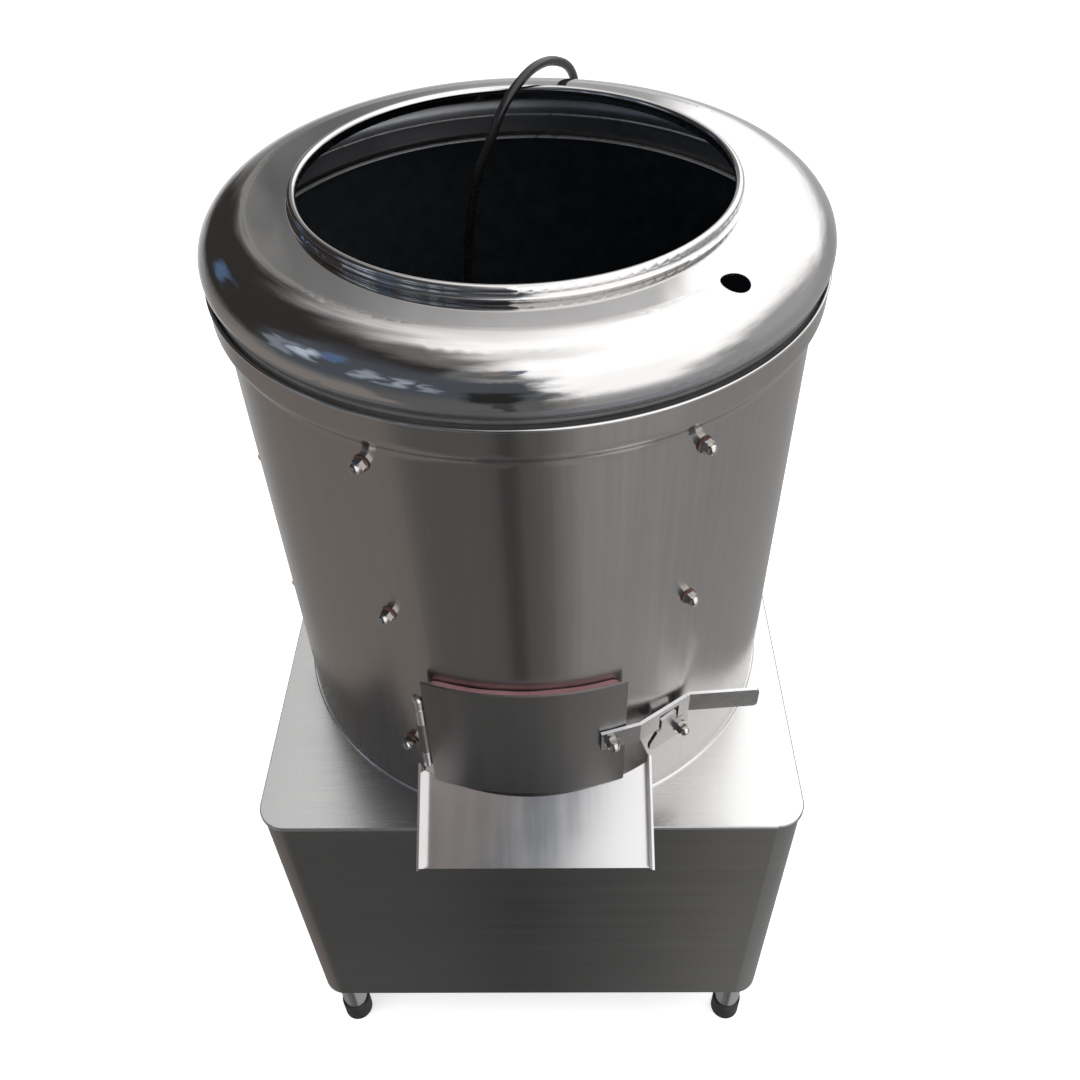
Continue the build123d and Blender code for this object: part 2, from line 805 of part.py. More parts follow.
# Chute: sloping floor with upright flanges, cut to the drum's round wall
chute_plane = Plane(
    origin=(chute_offset, -drum_radius, plate_top + chute_floor_height),
    x_dir=(1, 0, 0),
    z_dir=(0, -math.sin(math.radians(chute_slope)), math.cos(math.radians(chute_slope))),
)
chute_run = chute_reach + chute_rear_run
chute_middle = (chute_rear_run - chute_reach) / 2
with BuildPart() as discharge_chute:
    with BuildSketch(chute_plane):
        with Locations((0, chute_middle)):
            Rectangle(chute_width + 2 * chute_sheet, chute_run)
    extrude(amount=-chute_sheet)
    with BuildSketch(chute_plane):
        with Locations((0, chute_middle)):
            with GridLocations(chute_width + chute_sheet, 0, 2, 1):
                Rectangle(chute_sheet, chute_run)
    extrude(amount=chute_flange)
    with BuildSketch(Plane.XY.offset(plate_top - chute_reach)):
        Circle(drum_radius + weld_gap)
    extrude(amount=drum_radius, mode=Mode.SUBTRACT)
discharge_chute.part.label = "discharge_chute"
export_step(discharge_chute.part, "parts/discharge_chute.step")

# Turntable: abrasive disc with wave ridges and a skirted hub over the bearing neck
disc_level = plate_top + disc_top
disc_underside = disc_level - disc_thickness
ridge_rise_share = 1 / 4


# One wave ridge, wider towards the disc's edge
with BuildPart() as ridge:
    for distance, width in ((ridge_start, ridge_inner_width), (ridge_end, ridge_outer_width)):
        with BuildSketch(Plane.YZ.offset(distance)):
            with BuildLine():
                base = Line((-width / 2, disc_level - disc_edge), (width / 2, disc_level - disc_edge))
                Spline(
                    base @ 0,
                    (-width * ridge_rise_share, disc_level + ridge_height / 2),
                    (0, disc_level + ridge_height),
                    (width * ridge_rise_share, disc_level + ridge_height / 2),
                    base @ 1,
                    tangents=[(1, 0), (1, 0)],
                )
            make_face()
    loft()

with BuildPart() as turntable_disc:
    with BuildSketch(Plane.XY.offset(disc_underside)):
        Circle(disc_radius)
    extrude(amount=disc_thickness)
    chamfer(turntable_disc.edges().group_by(Axis.Z)[-1], disc_edge)
    with BuildSketch(Plane.XY.offset(disc_underside)):
        Circle(hub_skirt_radius)
        Circle(hub_skirt_inner, mode=Mode.SUBTRACT)
    extrude(amount=-hub_skirt_depth)
    with BuildSketch(Plane.XY.offset(disc_underside)):
        Circle(hub_boss_radius)
    extrude(amount=neck_height + disc_thickness - disc_top + wiper_gap / 3)
    with PolarLocations(0, ridge_count):
        add(ridge.part)
    with BuildSketch(Plane.XY.offset(plate_top)):
        Circle(shaft_radius)
    extrude(amount=disc_top + ridge_height, mode=Mode.SUBTRACT)
turntable_disc.part.label = "turntable_disc"
export_step(turntable_disc.part, "parts/turntable_disc.step")

# Peel wipers: two blades under the disc that sweep the floor to the drain
with BuildPart() as peel_wipers:
    with BuildSketch(Plane.XY.offset(plate_top + floor_thickness + wiper_gap)):
        with PolarLocations((hub_skirt_radius + disc_radius) / 2, 2):
            Rectangle(disc_radius - hub_skirt_radius - 2 * disc_edge, wiper_thickness)
    extrude(amount=disc_underside - plate_top - floor_thickness - wiper_gap)
peel_wipers.part.label = "peel_wipers"
export_step(peel_wipers.part, "parts/peel_wipers.step")

# Hub nut: washer, hexagon and dome that clamp the disc on the shaft
with BuildPart() as hub_nut:
    with BuildSketch(Plane.XY.offset(disc_level)):
        Circle(hub_washer_radius)
    extrude(amount=hub_washer_thickness)
    with BuildSketch(Plane.XY.offset(disc_level + hub_washer_thickness)):
        RegularPolygon(hub_nut_radius, 6, major_radius=False)
    extrude(amount=hub_nut_height)
    with BuildSketch(Plane.XY.offset(disc_level)):
        Circle(shaft_thread_radius)
    extrude(amount=hub_nut_height, mode=Mode.SUBTRACT)
    chamfer(hub_nut.edges().group_by(Axis.Z)[-1], hub_washer_thickness)
hub_nut.part.label = "hub_nut"
export_step(hub_nut.part, "parts/hub_nut.step")

# Bearing levels along the shaft
neck_top_level = plate_top + neck_height
upper_bearing = neck_top_level - seal_height - bearing_width
housing_foot = plate_top - housing_depth
lower_bearing = housing_foot
shoulder_radius_shaft = shaft_radius + shaft_shoulder
driven_top = housing_foot - pulley_drop
driven_foot = driven_top - pulley_width

# Main shaft: shoulders between the bearings, thread for the hub nut, pulley end below
with BuildPart() as main_shaft:
    with BuildSketch(Plane.XZ):
        with BuildLine():
            Polyline(
                (0, driven_foot),
                (shaft_radius, driven_foot),
                (shaft_radius, lower_bearing + bearing_width),
                (shoulder_radius_shaft, lower_bearing + bearing_width),
                (shoulder_radius_shaft, upper_bearing),
                (shaft_radius, upper_bearing),
                (shaft_radius, disc_level),
                (shaft_thread_radius, disc_level),
                (shaft_thread_radius, disc_level + hub_nut_height),
                (0, disc_level + hub_nut_height),
                close=True,
            )
        make_face()
    revolve(axis=Axis.Z)
main_shaft.part.label = "main_shaft"
export_step(main_shaft.part, "parts/main_shaft.step")

# Bearing housing: flange under the plate, neck through it, long body with two bearing seats
with BuildPart() as bearing_housing:
    with BuildSketch(Plane.XZ):
        with BuildLine():
            Polyline(
                (bearing_outer_radius, housing_foot),
                (housing_radius, housing_foot),
                (housing_radius, plate_underside - housing_flange_thickness),
                (housing_flange_radius, plate_underside - housing_flange_thickness),
                (housing_flange_radius, plate_underside),
                (neck_radius, plate_underside),
                (neck_radius, neck_top_level),
                (bearing_outer_radius, neck_top_level),
                (bearing_outer_radius, upper_bearing),
                (shoulder_radius_shaft + bore_clearance, upper_bearing),
                (shoulder_radius_shaft + bore_clearance, lower_bearing + bearing_width),
                (bearing_outer_radius, lower_bearing + bearing_width),
                close=True,
            )
        make_face()
    revolve(axis=Axis.Z)
bearing_housing.part.label = "bearing_housing"
export_step(bearing_housing.part, "parts/bearing_housing.step")

with BuildPart() as housing_bolts:
    with BuildSketch(Plane.XY.offset(plate_underside - housing_flange_thickness)):
        with PolarLocations(housing_bolt_circle, housing_bolt_count, start_angle=45):
            RegularPolygon(housing_bolt_flats / 2, 6, major_radius=False)
    extrude(amount=-housing_bolt_head)
housing_bolts.part.label = "housing_bolts"
export_step(housing_bolts.part, "parts/housing_bolts.step")


race_split = (bearing_outer_radius + shaft_radius) / 2
bearing_levels = [Plane.XY.offset(level) for level in (upper_bearing, lower_bearing)]
with BuildPart() as bearing_outer_rings:
    with BuildSketch(*bearing_levels):
        Circle(bearing_outer_radius)
        Circle(race_split + race_gap / 2, mode=Mode.SUBTRACT)
    extrude(amount=bearing_width)
bearing_outer_rings.part.label = "bearing_outer_rings"
export_step(bearing_outer_rings.part, "parts/bearing_outer_rings.step")

with BuildPart() as bearing_inner_rings:
    with BuildSketch(*bearing_levels):
        Circle(race_split - race_gap / 2)
        Circle(shaft_radius, mode=Mode.SUBTRACT)
    extrude(amount=bearing_width)
bearing_inner_rings.part.label = "bearing_inner_rings"
export_step(bearing_inner_rings.part, "parts/bearing_inner_rings.step")

with BuildPart() as shaft_seal:
    with BuildSketch(Plane.XY.offset(upper_bearing + bearing_width)):
        Circle(bearing_outer_radius)
        Circle(shaft_radius + race_gap, mode=Mode.SUBTRACT)
    extrude(amount=seal_height)
shaft_seal.part.label = "shaft_seal"
export_step(shaft_seal.part, "parts/shaft_seal.step")

# Belt drive
belt_level = driven_foot + pulley_width / 2


def groove_profile(centre_x, rim_radius, clearance):
    """V-groove section, widest at the rim."""
    return [
        (centre_x + rim_radius + overrun, belt_level + groove_top / 2 + overrun / 2),
        (centre_x + rim_radius, belt_level + groove_top / 2 + clearance),
        (centre_x + rim_radius - groove_depth, belt_level + groove_bottom / 2 + clearance),
        (centre_x + rim_radius - groove_depth, belt_level - groove_bottom / 2 - clearance),
        (centre_x + rim_radius, belt_level - groove_top / 2 - clearance),
        (centre_x + rim_radius + overrun, belt_level - groove_top / 2 - overrun / 2),
    ]


driven_rim = driven_pitch_radius + pulley_rim
with BuildPart() as driven_pulley:
    with BuildSketch(Plane.XY.offset(driven_foot)):
        Circle(driven_rim)
        Circle(driven_rim - rim_depth, mode=Mode.SUBTRACT)
        Circle(pulley_hub_radius)
    extrude(amount=pulley_width)
    with BuildSketch(Plane.XY.offset(belt_level - web_thickness / 2)):
        Circle(driven_rim - rim_depth)
        with PolarLocations((driven_rim - rim_depth + pulley_hub_radius) / 2, web_hole_count):
            Circle(web_hole_radius, mode=Mode.SUBTRACT)
    extrude(amount=web_thickness)
    with BuildSketch(Plane.XZ):
        with BuildLine():
            Polyline(*groove_profile(0, driven_rim, 0), close=True)
        make_face()
    revolve(axis=Axis.Z, mode=Mode.SUBTRACT)
    with BuildSketch(Plane.XY.offset(driven_foot)):
        Circle(shaft_radius)
    extrude(amount=pulley_width, mode=Mode.SUBTRACT)
driven_pulley.part.label = "driven_pulley"
export_step(driven_pulley.part, "parts/driven_pulley.step")

with BuildPart() as pulley_end_bolt:
    with BuildSketch(Plane.XY.offset(driven_foot)):
        Circle(end_bolt_radius + shaft_shoulder * 2)
    extrude(amount=-hub_washer_thickness)
    with BuildSketch(Plane.XY.offset(driven_foot - hub_washer_thickness)):
        RegularPolygon(end_bolt_radius, 6, major_radius=False)
    extrude(amount=-end_bolt_head)
pulley_end_bolt.part.label = "pulley_end_bolt"
export_step(pulley_end_bolt.part, "parts/pulley_end_bolt.step")

motor_rim = motor_pitch_radius + pulley_rim
motor_axis = Axis((motor_x, motor_y, 0), (0, 0, 1))
motor_section = Plane(origin=(motor_x, motor_y, 0), x_dir=(1, 0, 0), z_dir=(0, -1, 0))
with BuildPart() as motor_pulley:
    with BuildSketch(motor_section):
        with BuildLine():
            Polyline(
                (motor_shaft_radius, driven_foot),
                (motor_rim, driven_foot),
                (motor_rim, belt_level - groove_top / 2),
                (motor_rim - groove_depth, belt_level - groove_bottom / 2),
                (motor_rim - groove_depth, belt_level + groove_bottom / 2),
                (motor_rim, belt_level + groove_top / 2),
                (motor_rim, driven_top),
                (motor_shaft_radius, driven_top),
                close=True,
            )
        make_face()
    revolve(axis=motor_axis)
motor_pulley.part.label = "motor_pulley"
export_step(motor_pulley.part, "parts/motor_pulley.step")

# V-belt: two wraps and two straight runs of one wedge section
centre_distance = math.hypot(motor_x, motor_y)
belt_line = math.degrees(math.atan2(motor_y, motor_x))
belt_lean = math.degrees(math.acos((driven_pitch_radius - motor_pitch_radius) / centre_distance))
flank = (groove_top - groove_bottom) / 2 / groove_depth


def wedge(outer_radius):
    """Belt section on a radius, clear of the groove's flanks."""
    top = groove_top / 2 - flank * (pulley_rim / 2) - belt_clearance
    foot = top - flank * belt_height
    return [
        (outer_radius, belt_level - top),
        (outer_radius, belt_level + top),
        (outer_radius - belt_height, belt_level + foot),
        (outer_radius - belt_height, belt_level - foot),
    ]


def belt_plane(centre, angle):
    """Radial section plane of one pulley, x pointing outwards."""
    turn = math.radians(angle)
    return Plane(
        origin=(centre[0], centre[1], 0),
        x_dir=(math.cos(turn), math.sin(turn), 0),
        z_dir=(math.sin(turn), -math.cos(turn), 0),
    )


straight = math.sqrt(centre_distance**2 - (driven_pitch_radius - motor_pitch_radius) ** 2)
driven_wedge = wedge(driven_pitch_radius + pulley_rim / 2)
motor_wedge = wedge(motor_pitch_radius + pulley_rim / 2)
leave_angle = belt_line - belt_lean
meet_angle = belt_line + belt_lean
with BuildPart() as v_belt:
    with BuildSketch(belt_plane((0, 0), meet_angle)):
        with BuildLine():
            Polyline(*driven_wedge, close=True)
        make_face()
    revolve(axis=Axis.Z, revolution_arc=360 - 2 * belt_lean)
    with BuildSketch(belt_plane((motor_x, motor_y), leave_angle)):
        with BuildLine():
            Polyline(*motor_wedge, close=True)
        make_face()
    revolve(axis=motor_axis, revolution_arc=2 * belt_lean)
    with BuildSketch(belt_plane((0, 0), meet_angle)):
        with BuildLine():
            Polyline(*driven_wedge, close=True)
        make_face()
    extrude(amount=straight)
    with BuildSketch(belt_plane((0, 0), leave_angle)):
        with BuildLine():
            Polyline(*driven_wedge, close=True)
        make_face()
    extrude(amount=-straight)
v_belt.part.label = "v_belt"
export_step(v_belt.part, "parts/v_belt.step")

# Motor: hangs under the plate with its shaft down
motor_plate_top = housing_foot + motor_plate_thickness
motor_foot = motor_plate_top
body_foot = motor_foot + motor_flange_thickness
body_top = body_foot + motor_length
cap_top = body_top + motor_cap_height


def motor_sketch_plane(level):
    return Plane(origin=(motor_x, motor_y, level))


with BuildPart() as motor_body:
    with BuildSketch(motor_sketch_plane(motor_foot)):
        Circle(motor_flange_radius)
    extrude(amount=motor_flange_thickness)
    with BuildSketch(motor_sketch_plane(body_foot)):
        Circle(motor_radius)
        with PolarLocations(motor_radius, motor_fin_count):
            Rectangle(2 * motor_fin_height, motor_fin_width)
    extrude(amount=motor_length)
    with BuildSketch(motor_sketch_plane(body_top)):
        Circle(motor_radius)
    extrude(amount=motor_cap_height)
    with BuildSketch(motor_sketch_plane(motor_foot)):
        Circle(motor_shaft_radius + motor_bore_clearance)
    extrude(amount=motor_length + motor_flange_thickness + motor_cap_height, mode=Mode.SUBTRACT)
motor_body.part.label = "motor_body"
export_step(motor_body.part, "parts/motor_body.step")

fan_foot = cap_top + fan_gap
with BuildPart() as motor_shaft:
    with BuildSketch(motor_sketch_plane(driven_foot)):
        Circle(motor_shaft_radius)
    extrude(amount=fan_foot + fan_height - driven_foot)
motor_shaft.part.label = "motor_shaft"
export_step(motor_shaft.part, "parts/motor_shaft.step")

with BuildPart() as cooling_fan:
    with BuildSketch(motor_sketch_plane(fan_foot)):
        Circle(fan_hub_radius)
        with PolarLocations((fan_radius + fan_hub_radius) / 2, fan_blade_count):
            Rectangle(fan_radius - fan_hub_radius + fan_blade, fan_blade)
    extrude(amount=fan_height)
    with BuildSketch(motor_sketch_plane(fan_foot)):
        Circle(motor_shaft_radius)
    extrude(amount=fan_height, mode=Mode.SUBTRACT)
cooling_fan.part.label = "cooling_fan"
export_step(cooling_fan.part, "parts/cooling_fan.step")

# Fan cover: cap over the motor's upper end with slots for the air
cover_foot = body_top
cover_radius = motor_radius + cover_wall + ferrule_clearance
with BuildPart() as fan_cover:
    with BuildSketch(motor_sketch_plane(cover_foot)):
        Circle(cover_radius)
    extrude(amount=motor_cap_height + cover_height)
    fillet(fan_cover.edges().group_by(Axis.Z)[-1], motor_fin_height)
    with BuildSketch(motor_sketch_plane(cover_foot)):
        Circle(motor_radius + ferrule_clearance)
    extrude(amount=motor_cap_height + cover_height - cover_wall - motor_fin_height / 2, mode=Mode.SUBTRACT)
    with BuildSketch(motor_sketch_plane(cover_foot + motor_cap_height)):
        with PolarLocations((fan_radius + fan_hub_radius) / 2, cover_slot_count):
            SlotOverall(fan_radius - fan_hub_radius, cover_slot_width)
    extrude(amount=cover_height + overrun, mode=Mode.SUBTRACT)
fan_cover.part.label = "fan_cover"
export_step(fan_cover.part, "parts/fan_cover.step")

with BuildPart() as terminal_box:
    with BuildSketch(
        Plane(
            origin=(motor_x + motor_radius + motor_fin_height, motor_y, body_foot + motor_length / 2),
            x_dir=(0, 1, 0),
            z_dir=(1, 0, 0),
        )
    ):
        RectangleRounded(terminal_box_width, terminal_box_width, motor_fin_height)
    extrude(amount=terminal_box_depth)
terminal_box.part.label = "terminal_box"
export_step(terminal_box.part, "parts/terminal_box.step")

# Motor plate on four rods that hang from the top plate
hanger_places = [
    (motor_x + side * hanger_spacing / 2, motor_y + end * hanger_spacing / 2)
    for side in (-1, 1)
    for end in (-1, 1)
]
with BuildPart() as motor_plate:
    with BuildSketch(motor_sketch_plane(housing_foot)):
        RectangleRounded(motor_plate_size, motor_plate_size, hanger_radius)
        Circle(motor_shaft_radius + motor_fin_height, mode=Mode.SUBTRACT)
        with GridLocations(hanger_spacing, hanger_spacing, 2, 2):
            Circle(hanger_radius, mode=Mode.SUBTRACT)
    extrude(amount=motor_plate_thickness)
motor_plate.part.label = "motor_plate"
export_step(motor_plate.part, "parts/motor_plate.step")

with BuildPart() as motor_hangers:
    with BuildSketch(Plane.XY.offset(housing_foot - hanger_nut_height)):
        with Locations(*hanger_places):
            Circle(hanger_radius)
    extrude(amount=plate_underside - housing_foot + hanger_nut_height)
motor_hangers.part.label = "motor_hangers"
export_step(motor_hangers.part, "parts/motor_hangers.step")

with BuildPart() as hanger_nuts:
    with BuildSketch(Plane.XY.offset(housing_foot - hanger_nut_height)):
        with Locations(*hanger_places):
            RegularPolygon(hanger_nut_flats / 2, 6, major_radius=False)
            Circle(hanger_radius, mode=Mode.SUBTRACT)
    extrude(amount=hanger_nut_height)
hanger_nuts.part.label = "hanger_nuts"
export_step(hanger_nuts.part, "parts/hanger_nuts.step")

# Drain pipe: from the floor pan down and out through the rear wall
drain_level = plate_top - drain_drop
with BuildPart() as drain_pipe:
    with BuildLine() as drain_path:
        drop = Line((0, drain_offset, plate_top), (0, drain_offset, drain_level + drain_bend))
        bend = TangentArc(drop @ 1, (0, drain_offset + drain_bend, drain_level), tangent=(0, 0, -1))
        Line(bend @ 1, (0, drain_end, drain_level))
    with BuildSketch(Plane(origin=(0, drain_offset, plate_top), z_dir=(0, 0, -1))):
        Circle(drain_radius)
        Circle(drain_radius - drain_wall, mode=Mode.SUBTRACT)
    sweep(path=drain_path.wires()[0])
drain_pipe.part.label = "drain_pipe"
export_step(drain_pipe.part, "parts/drain_pipe.step")

# Switch box with two pockets, a stop button below and a start button above
switch_face = rear_face + switch_depth
button_places = [(-switch_x, switch_height + level * button_pitch / 2) for level in (-1, 1)]
button_foot = switch_face + button_proud - button_length
rear_plane = Plane(origin=(0, rear_face, 0), x_dir=(-1, 0, 0), z_dir=(0, 1, 0))
with BuildPart() as switch_box:
    with BuildSketch(rear_plane):
        with Locations((-switch_x, switch_height)):
            RectangleRounded(switch_width, switch_length, switch_corner)
    extrude(amount=switch_depth)
    fillet(switch_box.edges().group_by(Axis.Y)[-1], switch_corner / 2)
    with BuildSketch(rear_plane.offset(switch_depth)):
        with Locations(*button_places):
            Circle(button_radius + button_collar)
    extrude(amount=button_collar / 2)
    with BuildSketch(rear_plane.offset(switch_depth + button_proud)):
        with Locations(*button_places):
            Circle(button_radius + button_clearance)
    extrude(amount=-button_length - button_travel - button_clearance, mode=Mode.SUBTRACT)
switch_box.part.label = "switch_box"
export_step(switch_box.part, "parts/switch_box.step")


def make_button(place):
    with BuildPart() as button:
        with BuildSketch(rear_plane.offset(button_foot - rear_face)):
            with Locations(place):
                Circle(button_radius)
        extrude(amount=button_length)
        chamfer(button.edges().group_by(Axis.Y)[-1], button_clearance * 2)
    return button


stop_button = make_button(button_places[0])
stop_button.part.label = "stop_button"
export_step(stop_button.part, "parts/stop_button.step")

start_button = make_button(button_places[1])
start_button.part.label = "start_button"
export_step(start_button.part, "parts/start_button.step")

# Cord gland: hexagon against the wall and a tapered nose
with BuildPart() as cord_gland:
    with BuildSketch(rear_plane):
        with Locations((-gland_x, gland_height)):
            RegularPolygon(gland_flats / 2, 6, major_radius=False)
    extrude(amount=gland_nut_height)
    with BuildSketch(rear_plane.offset(gland_nut_height)):
        with Locations((-gland_x, gland_height)):
            Circle(gland_flats / 2 - plate_edge)
    with BuildSketch(rear_plane.offset(gland_length)):
        with Locations((-gland_x, gland_height)):
            Circle(cord_diameter / 2 + plate_edge)
    loft()
cord_gland.part.label = "cord_gland"
export_step(cord_gland.part, "parts/cord_gland.step")

# Power cord: out of the gland, a slack loop behind the cabinet, up behind the drum,
# over the hood and down inside the drum
cord_route = [
    (150, 267, 200),
    (150, 292, 200),
    (149, 314, 188),
    (147, 329, 166),
    (143, 334, 139),
    (128, 333, 116),
    (105, 329, 103),
    (78, 322, 103),
    (54, 314, 116),
    (39, 306, 138),
    (35, 299, 168),
    (40, 291, 222),
    (47, 284, 298),
    (52, 280, 390),
    (51, 279, 485),
    (56, 277, 585),
    (57, 276, 685),
    (54, 275, 780),
    (53, 269, 858),
    (50, 257, 912),
    (44, 230, 944),
    (28, 197, 961),
    (15, 171, 966),
    (4, 154, 963),
    (-8, 140, 953),
    (-18, 131, 938),
    (-26, 128, 917),
    (-38, 128, 891),
    (-46, 130, 858),
    (-52, 133, 814),
    (-56, 138, 752),
    (-57, 144, 680),
    (-59, 150, 612),
]
cord_points = [Vector(*point) for point in cord_route]
cord_runs = [after - before for before, after in zip(cord_points, cord_points[1:])]
cord_radii = []
for before, after in zip(cord_runs, cord_runs[1:]):
    half_turn = math.radians(before.get_angle(after) / 2)
    cord_radii.append(cord_bend_share * min(before.length, after.length) / math.tan(half_turn))
print("cord bend radii", [round(radius) for radius in cord_radii])

with BuildPart() as power_cord:
    with BuildLine() as cord_path:
        FilletPolyline(*cord_route, radius=cord_radii)
    with BuildSketch(Plane(origin=cord_path.line @ 0, z_dir=cord_path.line % 0)):
        Circle(cord_diameter / 2)
    sweep(path=cord_path.wires()[0])
power_cord.part.label = "power_cord"
export_step(power_cord.part, "parts/power_cord.step")
cord_length = cord_path.wires()[0].length
cord_section = math.pi * (cord_diameter / 2) ** 2
print("cord length", round(cord_length), "volume over section", round(power_cord.part.volume / cord_section))

# Plug on the cord's far end: ribless strain relief, round body, two pins
plug_plane = Plane(origin=cord_path.line @ 1, z_dir=cord_path.line % 1)
with BuildPart() as power_plug:
    with BuildSketch(plug_plane):
        Circle(cord_diameter / 2 + plate_edge)
    with BuildSketch(plug_plane.offset(plug_relief_length)):
        Circle(plug_waist_radius)
    loft()
    with BuildSketch(plug_plane.offset(plug_relief_length)):
        Circle(plug_waist_radius)
    with BuildSketch(plug_plane.offset(plug_relief_length + plug_body_length / 2)):
        Circle(plug_body_radius)
    loft()
    with BuildSketch(plug_plane.offset(plug_relief_length + plug_body_length / 2)):
        Circle(plug_body_radius)
    extrude(amount=plug_body_length / 2)
    with BuildSketch(plug_plane.offset(plug_relief_length + plug_body_length)):
        with GridLocations(plug_pin_pitch, 0, 2, 1):
            Circle(plug_pin_radius)
    extrude(amount=plug_pin_length)
power_plug.part.label = "power_plug"
export_step(power_plug.part, "parts/power_plug.step")
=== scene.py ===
import json
import math

import bmesh
import bpy
from mathutils import Matrix, Vector


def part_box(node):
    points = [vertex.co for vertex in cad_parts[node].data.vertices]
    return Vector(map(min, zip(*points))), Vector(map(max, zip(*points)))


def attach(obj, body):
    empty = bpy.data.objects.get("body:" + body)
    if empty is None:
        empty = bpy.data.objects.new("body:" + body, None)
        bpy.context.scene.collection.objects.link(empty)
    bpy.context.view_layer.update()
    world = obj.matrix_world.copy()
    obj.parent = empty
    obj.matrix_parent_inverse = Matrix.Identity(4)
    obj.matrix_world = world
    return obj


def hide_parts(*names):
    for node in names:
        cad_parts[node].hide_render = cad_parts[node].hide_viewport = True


# The CAD's own sizes that the pieces below are fitted to, in metres
DRUM_RADIUS = 0.230
WASHER_FACE = 0.2313
HOOD_LIP_RADIUS = 0.233
RIM_BEAD_DEPTH = 0.012
PORT_HALF_WIDTH = 0.073
PORT_HALF_HEIGHT = 0.061
PORT_MIDDLE = 0.563
GASKET_HALF_WIDTH = 0.0775
CHUTE_SLOPE = math.radians(32)
CHUTE_MIDDLE = 0.0057

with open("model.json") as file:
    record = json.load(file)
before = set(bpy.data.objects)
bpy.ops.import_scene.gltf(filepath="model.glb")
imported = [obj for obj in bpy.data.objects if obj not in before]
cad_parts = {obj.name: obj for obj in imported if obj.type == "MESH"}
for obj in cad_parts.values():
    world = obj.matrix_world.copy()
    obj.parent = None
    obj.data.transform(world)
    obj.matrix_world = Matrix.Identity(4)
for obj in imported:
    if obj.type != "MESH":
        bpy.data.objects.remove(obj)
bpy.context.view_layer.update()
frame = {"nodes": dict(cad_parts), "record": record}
nodes = frame["nodes"]
scene = bpy.context.scene
scene.view_settings.view_transform = "Standard"

# Camera at the photograph's angle
PHOTO_SIDE = 1080
FOCAL_PIXELS = 1040.4
PITCH = math.radians(43.96)
AZIMUTH = math.radians(-1.64)
ROLL = math.radians(-1.77)
CAMERA_PLACE = (0.03104, -0.73885, 1.28665)

forward = Vector((math.sin(AZIMUTH) * math.cos(PITCH), math.cos(AZIMUTH) * math.cos(PITCH), -math.sin(PITCH)))
level_right = Vector((math.cos(AZIMUTH), -math.sin(AZIMUTH), 0))
level_up = level_right.cross(forward)
cam_right = level_right * math.cos(ROLL) + level_up * math.sin(ROLL)
cam_up = -level_right * math.sin(ROLL) + level_up * math.cos(ROLL)
cam_data = bpy.data.cameras.new("photo_camera")
cam_data.sensor_width = 36
cam_data.lens = FOCAL_PIXELS * cam_data.sensor_width / PHOTO_SIDE
camera = bpy.data.objects.new("photo_camera", cam_data)
scene.collection.objects.link(camera)
camera.matrix_world = Matrix.Translation(CAMERA_PLACE) @ Matrix(
    (
        (cam_right.x, cam_up.x, -forward.x),
        (cam_right.y, cam_up.y, -forward.y),
        (cam_right.z, cam_up.z, -forward.z),
    )
).to_4x4()
scene.camera = camera

# Power cord, the CAD route in metres
CORD_ROUTE = [
    (0.150, 0.267, 0.200), (0.150, 0.292, 0.200), (0.149, 0.314, 0.188), (0.147, 0.329, 0.166),
    (0.143, 0.334, 0.139), (0.128, 0.333, 0.116), (0.105, 0.329, 0.103), (0.078, 0.322, 0.103),
    (0.054, 0.314, 0.116), (0.039, 0.306, 0.138), (0.035, 0.299, 0.168), (0.040, 0.291, 0.222),
    (0.047, 0.284, 0.298), (0.052, 0.280, 0.390), (0.051, 0.279, 0.485), (0.056, 0.277, 0.585),
    (0.057, 0.276, 0.685), (0.054, 0.275, 0.780), (0.053, 0.269, 0.858), (0.050, 0.257, 0.912),
    (0.044, 0.230, 0.944), (0.028, 0.197, 0.961), (0.015, 0.171, 0.966), (0.004, 0.154, 0.963),
    (-0.008, 0.140, 0.953), (-0.018, 0.131, 0.938), (-0.026, 0.128, 0.917), (-0.038, 0.128, 0.891),
    (-0.046, 0.130, 0.858), (-0.052, 0.133, 0.814), (-0.056, 0.138, 0.752), (-0.057, 0.144, 0.680),
    (-0.059, 0.150, 0.612),
]
CORD_DIAMETER = 0.008
cord_data = bpy.data.curves.new("power_cord_line", "CURVE")
cord_data.dimensions = "3D"
cord_line = cord_data.splines.new("NURBS")
cord_line.points.add(len(CORD_ROUTE) - 1)
for point, place in zip(cord_line.points, CORD_ROUTE):
    point.co = (*place, 1)
    point.radius = CORD_DIAMETER / 2
cord_line.order_u = 3
cord_line.use_endpoint_u = True
cord_line.resolution_u = 6
cord_data.bevel_depth = 1
cord_data.bevel_resolution = 5
cord_data.use_fill_caps = True
cord_piece = bpy.data.objects.new("power_cord_flex", cord_data)
scene.collection.objects.link(cord_piece)
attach(cord_piece, "machine")
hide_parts("power_cord")


# Materials
def new_material(name, color, metallic=0.0, roughness=0.5):
    mat = bpy.data.materials.new(name)
    mat.use_nodes = True
    shader = mat.node_tree.nodes["Principled BSDF"]
    shader.inputs["Base Color"].default_value = (*color, 1)
    shader.inputs["Metallic"].default_value = metallic
    shader.inputs["Roughness"].default_value = roughness
    return mat, mat.node_tree, shader


def node(tree, kind, **values):
    made = tree.nodes.new(kind)
    for key, value in values.items():
        setattr(made, key, value)
    return made


def stretched(tree, scale):
    """Object coordinates scaled per axis."""
    where = node(tree, "ShaderNodeTexCoord")
    mapping = node(tree, "ShaderNodeMapping")
    mapping.inputs["Scale"].default_value = scale
    tree.links.new(where.outputs["Object"], mapping.inputs["Vector"])
    return mapping.outputs["Vector"]


